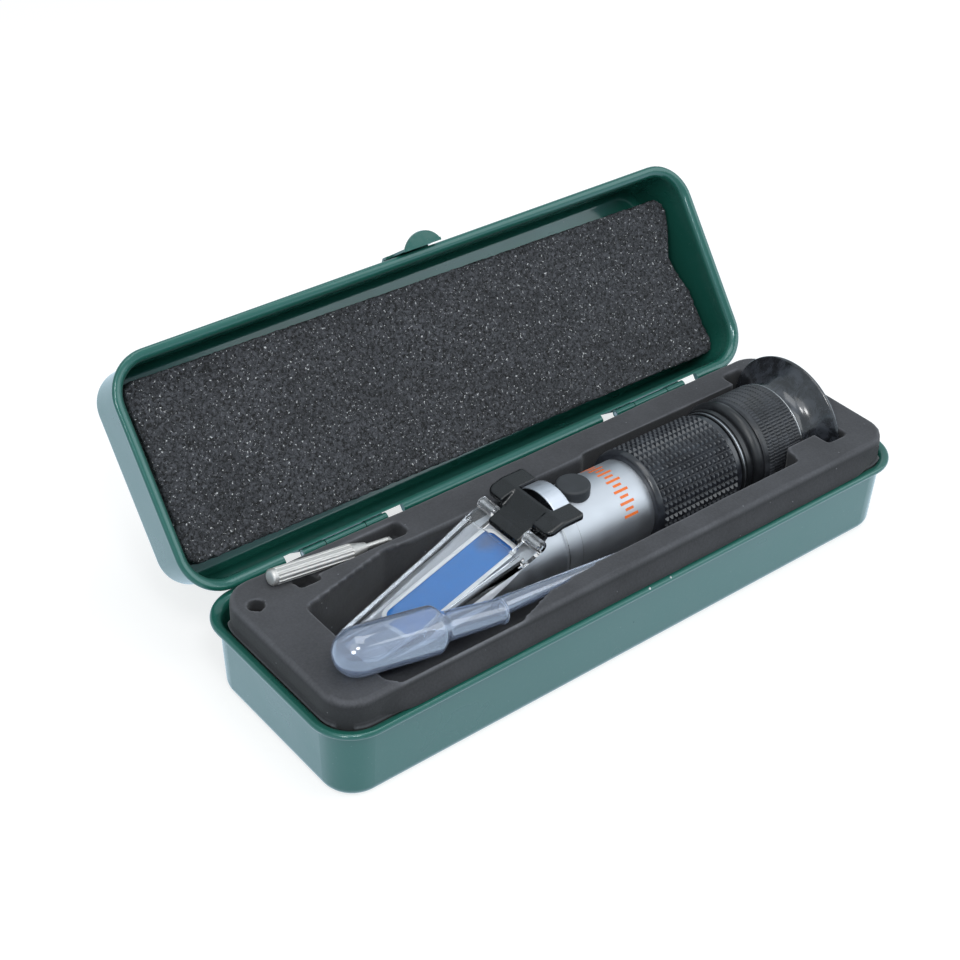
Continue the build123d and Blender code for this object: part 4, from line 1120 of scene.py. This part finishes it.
@dataclass
class Barrel(Assembly):
    """Optical body: housing, prism, cover plate, saddle, barrel and calibration screw."""

    seal_span_mm: Point2 = (2.4, 41.4)
    seal_half_mm: float = 6.35
    seal_corner_mm: float = 3.0
    seal_width_mm: float = 1.35
    seal_thick_mm: float = 0.22
    seal_level_mm: float = 0.7
    seal_steps: int = 6
    seal_ring: int = 8
    saddle_voxel_mm: float = 0.3
    leaf_voxel_mm: float = 0.16
    ear_thick_mm: float = 2.2
    ear_droop_mm: float = 1.5
    ear_bend_mm: float = -15.2
    ear_front_mm: float = -20.6
    ear_under_mm: Point2 = (0.1, 0.7)
    seat_half_mm: float = 6.6
    leaf_widening: float = 1.28
    joints_mm: tuple[Point2, ...] = ((-11.4, 0.3), (-6.5, 0.16))
    bars_span_mm: Point2 = (9.4, 14.3)
    bars_turn_deg: Point2 = (38.0, -64.0)
    bar_count: int = 13
    bar_steps: int = 4
    bar_width_mm: float = 0.8
    bar_long_mm: float = 4.9
    bar_short_mm: float = 2.9
    ink_mm: float = 0.03

    def build(self) -> None:
        """Dress the front half of the instrument and build its small pieces."""
        shop = self.workshop
        low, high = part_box("prism")
        # The prism's blue has painted shade at its upper end and a painted reflection on its face
        blue = BluePrismGlass(shaded_end_x=high.x, pale_x=low.x).build("blue_prism_glass")
        finishes = {
            "body_tube": shop.anodised, "prism_housing": shop.casting, "prism": blue,
            "daylight_plate": shop.acrylic, "plate_hinge_pin": shop.turned_steel, "screw_bush": shop.brass,
            "calibration_screw": shop.turned_steel, "screw_cap": shop.cap_rubber,
            "bimetal_frame": shop.turned_steel, "objective_lens": shop.lens_glass,
            "objective_ring": shop.black_anodised, "reticle": shop.lens_glass,
            "reticle_ring": shop.black_anodised,
        }
        self.dress_nodes(finishes)
        log.info("barrel: %d nodes dressed", len(finishes))
        self.prism_seal()
        self.saddle()
        self.joint_lines()
        self.tick_bars()

    def saddle(self) -> None:
        """Moulded saddle with soft edges and ears that stand free of the barrel, and its wider leaf."""
        nodes = self.frame["nodes"]
        tube = Round.of("body_tube")
        piece = voxel_copy(nodes["saddle_block"], "saddle_moulding", self.saddle_voxel_mm, 3)
        points = points_of(piece)
        x, z = points[:, 0], points[:, 2]
        side = np.abs(points[:, 1])
        ear = np.clip((self.ear_bend_mm - x) / (self.ear_bend_mm - self.ear_front_mm), 0, 1)
        droop = self.ear_droop_mm * ear
        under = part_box("saddle_block")[1].z / MM - self.ear_thick_mm - droop
        sunk = ramp(under - z, *self.ear_under_mm) * (x > self.ear_front_mm)
        drawn_in = np.where(side > self.seat_half_mm, side + (self.seat_half_mm - side) * sunk, side)
        points[:, 1] = np.sign(points[:, 1]) * drawn_in
        height = z - tube.axis_z
        reach = np.hypot(drawn_in, height)
        lift = np.where((reach < tube.radius) & (sunk > 0), tube.radius / reach, 1.0)
        points[:, 1] *= lift
        points[:, 2] = tube.axis_z + height * lift
        set_points(piece, points)
        leaf = voxel_copy(nodes["saddle_leaf"], "saddle_leaf_band", self.leaf_voxel_mm, 2)
        points = points_of(leaf)
        middle = (points[:, 0].min() + points[:, 0].max()) / 2
        points[:, 0] = middle + (points[:, 0] - middle) * self.leaf_widening
        set_points(leaf, points)
        install(piece, self.workshop.black_abs, "refractometer", "saddle_block")
        install(leaf, self.workshop.spring_steel, "refractometer", "saddle_leaf")
        for made in (piece, leaf):
            log.info("%s: %d faces", made.name, len(made.data.polygons))

    def joint_lines(self) -> None:
        """Hairlines where the turned pieces of the body meet."""
        tube = Round.of("body_tube")
        for n, (x, width) in enumerate(self.joints_mm, 1):
            radii = (tube.radius - 0.3, tube.radius + 0.02)
            line = hoop(f"joint_line_{n}", (x, x + width), radii, 0.05, tube.axis_z)
            install(line, self.workshop.turned_steel, "refractometer")
        log.info("joint lines: %d", len(self.joints_mm))

    def prism_seal(self) -> None:
        """White bead round the prism, held under the clear plate."""
        slope = math.radians(BEVEL_SLOPE_DEG)
        down = Vector((-math.cos(slope), 0.0, -math.sin(slope)))
        up = Vector((-math.sin(slope), 0.0, math.cos(slope)))
        start, end = self.seal_span_mm
        half, corner = self.seal_half_mm, self.seal_corner_mm
        corners = ((end - corner, half - corner, 0), (start + corner, half - corner, 90),
                   (start + corner, corner - half, 180), (end - corner, corner - half, 270))
        path = []
        for along, across, first in corners:
            for step in range(self.seal_steps + 1):
                turn = math.radians(first + 90 * step / self.seal_steps)
                out = (math.cos(turn), math.sin(turn))
                path.append((along + corner * out[0], across + corner * out[1], out))
        verts = []
        for along, across, out in path:
            for k in range(self.seal_ring):
                angle = 2 * math.pi * k / self.seal_ring
                wide = self.seal_width_mm / 2 * math.cos(angle)
                high = self.seal_level_mm + self.seal_thick_mm / 2 * math.sin(angle)
                place = Vector(KNEE_MM) + down * (along + wide * out[0]) + up * high
                verts.append((place.x, across + wide * out[1], place.z))
        faces = band_faces(len(path), self.seal_ring, closed=True, flipped=True)
        piece = new_mesh("prism_seal", verts, faces, 60.0)
        install(piece, self.workshop.seal, "cover_plate")
        log.info("prism seal: %d points on its path", len(path))

    def tick_bars(self) -> None:
        """Plain orange tick bars printed round the barrel, long and short in turn."""
        tube = Round.of("body_tube")
        verts, faces = [], []
        first, last = self.bars_turn_deg
        for n in range(self.bar_count):
            middle = math.radians(first + (last - first) * n / (self.bar_count - 1))
            reach = self.bar_long_mm if n % 2 == 0 else self.bar_short_mm
            self._bar(verts, faces, middle, reach, tube)
        piece = new_mesh("tick_bars", verts, faces, 40.0)
        install(piece, self.workshop.ink, "refractometer")
        log.info("tick bars: %d", self.bar_count)

    def _bar(self, verts: list, faces: list, middle: float, reach: float, tube: Round) -> None:
        """Add one printed bar to a list of points and faces.

        Args:
            verts: points so far, in millimetres.
            faces: faces so far.
            middle: the bar's place round the barrel, in radians.
            reach: its length along the barrel, in millimetres.
            tube: the barrel it is printed on.
        """
        start, steps = len(verts), self.bar_steps
        half_turn = self.bar_width_mm / tube.radius / 2
        centre = sum(self.bars_span_mm) / 2
        for level in (tube.radius - 0.05, tube.radius + self.ink_mm):
            for side in (-1, 1):
                for n in range(steps + 1):
                    turn = middle + half_turn * (2 * n / steps - 1)
                    verts.append((centre + side * reach / 2, level * math.sin(turn),
                                  tube.axis_z + level * math.cos(turn)))
        row = steps + 1
        lift = 2 * row
        outline = [start + n for n in range(row)] + [start + row + n for n in reversed(range(row))]
        for n in range(start, start + steps):
            faces.append((n, row + n, row + n + 1, n + 1))
            faces.append((lift + n, lift + n + 1, lift + row + n + 1, lift + row + n))
        for a, b in zip(outline, outline[1:] + outline[:1]):
            faces.append((a, b, b + lift, a + lift))


@dataclass
class EyepieceEnd(Assembly):
    """Grip, collar, focusing ring, lenses and eyecup."""

    trim_line_mm: float = 0.5
    sleeve_gap_mm: float = 0.05
    cuff_mm: float = 2.3
    cuff_slope_mm: Point2 = (1.4, 0.4)
    tail_mm: float = 0.6
    tail_step_mm: float = 0.2
    stud_pitch_mm: float = 1.7
    studs_around: int = 42
    stud_height_mm: float = 0.85
    stud_root_mm: float = 0.25
    stud_tip_mm: float = 0.28
    ring_gap_mm: float = 0.3
    ring_plain_mm: Point2 = (1.7, 1.5)
    ring_edges_mm: Point2 = (0.5, 0.6)
    knurl_around: int = 96
    knurl_height_mm: float = 0.32
    knurl_bands: int = 6
    knurl_slope_mm: Point2 = (0.05, 0.3)
    ring_line_mm: Point2 = (-1.15, -0.75)

    def build(self) -> None:
        """Build the rear half of the instrument."""
        shop = self.workshop
        anodised = ("trim_ring", "eyepiece_collar", "lens_cell", "lens_retainer")
        self.dress_nodes(dict.fromkeys(anodised, shop.black_anodised) | {
            "eyepiece_lens": shop.lens_glass, "eyecup": shop.cup_rubber, "focus_ring": shop.knurled_abs})
        self.trim_line()
        self.grip()
        self.focus_ring()

    def trim_line(self) -> None:
        """Thin bright cut line round the trim ring."""
        ring = Round.of("trim_ring")
        middle = (ring.front + ring.rear) / 2
        span = (middle - self.trim_line_mm / 2, middle + self.trim_line_mm / 2)
        line = hoop("trim_line", span, (ring.radius - 0.4, ring.radius + 0.06), 0.12, ring.axis_z)
        install(line, self.workshop.bright_ring, "refractometer")
        log.info("trim line: %.1f mm wide", self.trim_line_mm)

    def grip(self) -> None:
        """Rubber sleeve with its field of square studs."""
        node = Round.of("rubber_grip")
        front, rear, top = node.front, node.rear, node.radius
        bed = top - self.stud_height_mm
        tail = bed + self.tail_step_mm
        slope, drop = self.cuff_slope_mm
        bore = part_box("body_tube")[1].y / MM + self.sleeve_gap_mm
        first = front + self.cuff_mm
        rows = int((rear - self.tail_mm - first) / self.stud_pitch_mm)
        last = first + rows * self.stud_pitch_mm
        profile = [(front, bore), (front, top - drop), (front + slope, top), (first - 0.3, top), (first, bed),
                   (last, bed), (last + 0.1, tail), (rear, tail), (rear, bore)]
        sleeve = lathe("grip_sleeve", softened(profile, 0.9, 5), node.axis_z)
        verts, faces = [], []
        for row in range(rows):
            x = first + (row + 0.5) * self.stud_pitch_mm
            for col in range(self.studs_around):
                self._stud(verts, faces, x, 2 * math.pi * (col + 0.5) / self.studs_around, node)
        studs = new_mesh("grip_studs", verts, faces, 12.0)
        install(sleeve, self.workshop.grip_rubber, "refractometer", "rubber_grip")
        install(studs, self.workshop.grip_rubber, "refractometer")
        log.info("grip: %d studs", rows * self.studs_around)

    def _stud(self, verts: list, faces: list, x: float, turn: float, node: Round) -> None:
        """Add one blunt pyramid to a list of points and faces.

        Args:
            verts: points so far, in millimetres.
            faces: faces so far.
            x: the stud's place along the axis.
            turn: its place round the axis, in radians.
            node: size of the grip over its studs.
        """
        start = len(verts)
        half_x = self.stud_pitch_mm / 2
        half_turn = math.pi / self.studs_around
        top = node.radius
        bed = top - self.stud_height_mm
        # Radius and share of the pitch: root in the sleeve, foot, shoulder and blunt tip
        levels = ((bed - self.stud_root_mm, 1.0), (bed + 0.02, 0.97), (top - 0.04, self.stud_tip_mm / half_x),
                  (top, 0.12))
        for radius, share in levels:
            for sx, st in ((-1, -1), (1, -1), (1, 1), (-1, 1)):
                angle = turn + st * half_turn * share
                verts.append((x + sx * half_x * share, radius * math.sin(angle),
                              node.axis_z + radius * math.cos(angle)))
        faces.append((start, start + 3, start + 2, start + 1))
        faces += [tuple(start + n for n in face) for face in band_faces(4, 4, flipped=True)]
        faces.append((start + 12, start + 13, start + 14, start + 15))

    def focus_ring(self) -> None:
        """Focusing ring with a fine straight knurl broken by shallow grooves."""
        node = Round.of("focus_ring")
        front, rear = node.front, node.rear
        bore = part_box("body_tube")[1].y / MM + self.ring_gap_mm
        root = node.radius - self.knurl_height_mm
        start, end = front + self.ring_plain_mm[0], rear - self.ring_plain_mm[1]
        near, far = self.ring_edges_mm
        foot, crest = self.knurl_slope_mm
        step = (end - start) / self.knurl_bands
        profile = [(front, bore), (front, root - near), (front + near, root), (start - foot, root)]
        lifted = {}
        for band in range(self.knurl_bands):
            a = start + band * step
            b = a + step
            for x, lift in ((a + foot, 0.0), (a + crest, 1.0), (b - crest, 1.0), (b - foot, 0.0)):
                lifted[len(profile)] = lift
                profile.append((x, root))
        profile += [(end + foot, root), (rear - far, root), (rear, root - far), (rear, bore)]
        ridge = (0.0, 0.85, 1.0, 0.85)

        def relief(i: int, j: int) -> float:
            """Height of the knurl at a point of the profile and a step round the ring."""
            return self.knurl_height_mm * lifted.get(i, 0.0) * ridge[j % len(ridge)]

        ring = lathe("focus_ring_knurled", profile, node.axis_z, self.knurl_around * len(ridge), relief, 25.0)
        install(ring, self.workshop.knurled_abs, "eyepiece", "focus_ring")
        span = (rear + self.ring_line_mm[0], rear + self.ring_line_mm[1])
        line = hoop("focus_ring_line", span, (root - 0.3, root + 0.12), 0.12, node.axis_z)
        install(line, self.workshop.turned_steel, "eyepiece")
        log.info("focus ring: %d ribs", self.knurl_around)


@dataclass
class Accessories(Assembly):
    """Pipette and screwdriver that lie in the foam."""

    bulb_radius_mm: float = 6.4
    bulb_length_mm: float = 21.2
    shoulder_mm: float = 4.4
    neck_mm: Point2 = (3.9, 3.3)
    rim_mm: float = 0.3
    stem_mm: Point2 = (2.6, 0.9)
    wall_mm: float = 0.45
    pole_deg: float = 0.3
    pole_mm: float = 0.03
    pole_points: int = 4
    dome_steps: int = 16
    shoulder_steps: int = 12
    straight_steps: int = 6
    stem_steps: int = 24
    around: int = 72
    bulb_centre_mm: Point3 = (-87.4, -20.3, 38.6)
    neck_end_mm: Point3 = (-45.3, -24.9, 33.5)
    stem_root_mm: Point3 = (-46.2, -23.7, 33.8)
    stem_tip_mm: Point3 = (16.0, -19.9, 25.0)

    def build(self) -> None:
        """Dress the screwdriver and build the pipette."""
        self.dress_nodes(dict.fromkeys(("screwdriver_handle", "screwdriver_blade"), self.workshop.nickel))
        log.info("screwdriver dressed")
        self.pipette()

    def pipette(self) -> None:
        """Blown pipette: a hollow bulb and neck, and a hollow stem drawn out of the neck's end."""
        bulb = self._along("pipette_blown", self._bulb_profile(), self.bulb_centre_mm, self.neck_end_mm)
        stem = self._along("pipette_stem", self._stem_profile(), self.stem_root_mm, self.stem_tip_mm)
        install(bulb, self.workshop.polyethylene, "dropper", "pipette")
        install(stem, self.workshop.polyethylene, "dropper")
        log.info("pipette: %d faces", len(bulb.data.polygons) + len(stem.data.polygons))

    def _bulb_profile(self) -> list[Point2]:
        """Closed profile of the bulb's and neck's wall, from the pole to the neck's rim and back.

        Returns:
            (x, r) points, with x from the bulb's centre.
        """
        run = (Vector(self.neck_end_mm) - Vector(self.bulb_centre_mm)).length
        radius, (neck, end) = self.bulb_radius_mm, self.neck_mm
        outer = []
        for n in range(self.dome_steps + 1):
            turn = math.radians(self.pole_deg + (90.0 - self.pole_deg) * n / self.dome_steps)
            outer.append((-radius * math.cos(turn), radius * math.sin(turn)))
        steps = self.straight_steps
        outer += [(self.bulb_length_mm * n / steps, radius) for n in range(1, steps + 1)]
        for n in range(1, self.shoulder_steps + 1):
            t = n / self.shoulder_steps
            drop = t * t * (3 - 2 * t)
            outer.append((self.bulb_length_mm + self.shoulder_mm * t, radius + (neck - radius) * drop))
        start = self.bulb_length_mm + self.shoulder_mm
        outer += [(start + (run - 1.0 - start) * n / steps, neck + (end - neck) * n / steps)
                  for n in range(1, steps + 1)]
        # The points round the pole are too near the axis for the wall's thickness
        inner = [(x, r - self.wall_mm) for x, r in outer[self.pole_points:]]
        inner.insert(0, (-radius + self.wall_mm, self.pole_mm))
        mouth = self.stem_mm[0] - 0.5
        rim = [(run - 0.8, end + self.rim_mm), (run - 0.3, end + self.rim_mm), (run, end - 0.1),
               (run, mouth), (run - 0.5, mouth), (run - 0.5, end - self.wall_mm)]
        return outer + rim + inner[::-1]

    def _stem_profile(self) -> list[Point2]:
        """Closed profile of the stem's wall, from its root to the open tip and back.

        Returns:
            (x, r) points, with x from the stem's root.
        """
        run = (Vector(self.stem_tip_mm) - Vector(self.stem_root_mm)).length
        root, tip = self.stem_mm
        steps = self.stem_steps
        outer = [(run * n / steps, tip + (root - tip) * (1 - n / steps)) for n in range(steps + 1)]
        return outer + [(x, r - self.wall_mm) for x, r in reversed(outer)]

    def _along(self, name: str, profile: Sequence[Point2], start: Point3, end: Point3) -> bpy.types.Object:
        """Turn a profile about the line between two points.

        Args:
            name: the object's name.
            profile: (x, r) points of a closed loop, in millimetres, x from the start.
            start: where x is 0, in millimetres.
            end: point that the line goes towards.

        Returns:
            The turned object.
        """
        made = lathe(name, profile, 0.0, self.around)
        line = (Vector(end) - Vector(start)).to_track_quat("X", "Z").to_matrix().to_4x4()
        made.data.transform(Matrix.Translation(Vector(start) * MM) @ line)
        return made


class LampRole(Enum):
    """The lamps of the studio."""

    KEY = "key"
    FILL = "fill"
    TOP = "top"
    GLINT_LOW = "glint_low"
    GLINT_HIGH = "glint_high"


@dataclass(frozen=True)
class Lamp:
    """A square lamp: its place and side in metres, its power and its tint."""

    place: Point3
    side: float
    watts: float
    tint: Point3 = (1.0, 1.0, 1.0)


LAMPS = {
    LampRole.KEY: Lamp((-0.55, -0.35, 0.85), 0.6, 1.2, (1.0, 0.99, 0.97)),
    LampRole.FILL: Lamp((0.75, -0.6, 0.55), 0.7, 2.6, (0.95, 0.98, 1.0)),
    LampRole.TOP: Lamp((0.15, -0.05, 1.1), 0.7, 3.0),
    LampRole.GLINT_LOW: Lamp((-0.7, -0.5, 0.62), 0.2, 1.9),
    LampRole.GLINT_HIGH: Lamp((-0.3, -0.55, 0.85), 0.2, 1.9),
}


@dataclass
class Studio:
    """White sweep, three soft boxes, two small lamps and the camera."""

    azimuth_deg: float = -39.557
    elevation_deg: float = 36.102
    roll_deg: float = 1.757
    distance_mm: float = 559.82
    target_mm: Point3 = (14.236, 57.968, 0.0)
    focal_px: float = 1798.18
    frame_px: float = 960.0
    film_mm: float = 36.0
    floor_m: float = 6.0
    floor_glow: float = 0.84
    floor_seen: str = "e9e9e9"
    floor_mirrored: str = "cdeaff"
    floor_paper: str = "b4b4b4"
    lamps_aim_m: Point3 = (0.0, 0.02, 0.02)
    sky: Colour = (0.82, 0.93, 1.0, 1.0)
    world_level: float = 0.42
    gloss_level: float = 0.7

    def build(self) -> None:
        """Set up the camera, floor, lamps and world."""
        self.camera()
        self.floor()
        self.lamps()
        self.world()
        bpy.context.scene.view_settings.view_transform = "Standard"
        log.info("studio ready")

    def camera(self) -> None:
        """Camera at the photograph's viewing angle."""
        a, e, roll = (math.radians(v) for v in (self.azimuth_deg, self.elevation_deg, self.roll_deg))
        back = Vector((math.sin(a) * math.cos(e), -math.cos(a) * math.cos(e), math.sin(e)))
        level = Vector((math.cos(a), math.sin(a), 0))
        rise = back.cross(level)
        right = level * math.cos(roll) + rise * math.sin(roll)
        up = rise * math.cos(roll) - level * math.sin(roll)
        data = bpy.data.cameras.new("camera")
        data.sensor_width = self.film_mm
        data.lens = self.film_mm * self.focal_px / self.frame_px
        data.clip_start = 0.01
        data.clip_end = 50.0
        made = bpy.data.objects.new("camera", data)
        bpy.context.scene.collection.objects.link(made)
        place = Vector(self.target_mm) * MM + back * self.distance_mm * MM
        turned = Matrix((right, up, back)).transposed().to_4x4()
        made.matrix_world = Matrix.Translation(place) @ turned
        bpy.context.scene.camera = made

    def floor(self) -> None:
        """Pale floor that keeps a soft shadow and shows as white beyond it."""
        half = self.floor_m / 2 / MM
        corners = [(-half, -half, 0), (half, -half, 0), (half, half, 0), (-half, half, 0)]
        made = new_mesh("floor", corners, [(0, 1, 2, 3)])
        material = bpy.data.materials.new("white_sweep")
        tree = empty_tree(material)
        path = add_node(tree, "ShaderNodeLightPath").outputs
        seen = add_node(tree, "ShaderNodeMath", {0: path["Is Camera Ray"], 1: path["Is Glossy Ray"]},
                        operation="MAXIMUM")
        seen = add_node(tree, "ShaderNodeMath", {0: seen.outputs["Value"], 1: path["Is Transmission Ray"]},
                        operation="MAXIMUM")
        glow = add_node(tree, "ShaderNodeMath", {0: seen.outputs["Value"], 1: self.floor_glow},
                        operation="MULTIPLY")
        tint = add_node(tree, "ShaderNodeMix", {
            "Factor": path["Is Glossy Ray"], "A": srgb(self.floor_seen), "B": srgb(self.floor_mirrored)},
            data_type="RGBA")
        light = add_node(tree, "ShaderNodeEmission", {
            "Color": tint.outputs["Result"], "Strength": glow.outputs["Value"]})
        paper = add_node(tree, "ShaderNodeBsdfDiffuse", {"Color": srgb(self.floor_paper)})
        both = add_node(tree, "ShaderNodeAddShader", {0: light.outputs["Emission"], 1: paper.outputs["BSDF"]})
        add_node(tree, "ShaderNodeOutputMaterial", {"Surface": both.outputs["Shader"]})
        dress(made, material)

    def lamps(self) -> None:
        """Three soft boxes round the object, and two small lamps that glint in the clear parts."""
        for role, lamp in LAMPS.items():
            data = bpy.data.lights.new(role.value, "AREA")
            data.shape = "SQUARE"
            data.size = lamp.side
            data.energy = lamp.watts
            data.color = lamp.tint
            made = bpy.data.objects.new(role.value, data)
            made.location = lamp.place
            aim = Vector(self.lamps_aim_m) - Vector(lamp.place)
            made.rotation_euler = aim.to_track_quat("-Z", "Y").to_euler()
            bpy.context.scene.collection.objects.link(made)

    def world(self) -> None:
        """White to the camera, an even cool grey to everything else."""
        world = bpy.data.worlds.new("studio_world")
        bpy.context.scene.world = world
        tree = empty_tree(world)
        path = add_node(tree, "ShaderNodeLightPath").outputs
        bright = add_node(tree, "ShaderNodeMapRange", {
            "Value": path["Is Glossy Ray"], "To Min": self.world_level, "To Max": self.gloss_level})
        soft = add_node(tree, "ShaderNodeBackground", {
            "Color": self.sky, "Strength": bright.outputs["Result"]})
        white = add_node(tree, "ShaderNodeBackground", {"Color": (1, 1, 1, 1), "Strength": 1.0})
        seen = add_node(tree, "ShaderNodeMath", {0: path["Is Camera Ray"], 1: path["Is Transmission Ray"]},
                        operation="MAXIMUM")
        mixed = add_node(tree, "ShaderNodeMixShader", {
            0: seen.outputs["Value"], 1: soft.outputs["Background"], 2: white.outputs["Background"]})
        add_node(tree, "ShaderNodeOutputWorld", {"Surface": mixed.outputs["Shader"]})


def main() -> None:
    """Load the frame and build everything round it."""
    logging.basicConfig(level=logging.INFO, format="%(message)s")
    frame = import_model()
    Studio().build()
    workshop = Workshop()
    hinge = next(j for j in frame["joints"] if j["name"] == "lid_hinge")
    SteelCase(frame, workshop).build()
    Padding(frame, workshop, LidPlace(hinge)).build()
    Barrel(frame, workshop).build()
    EyepieceEnd(frame, workshop).build()
    Accessories(frame, workshop).build()


if __name__ == "__main__":
    main()
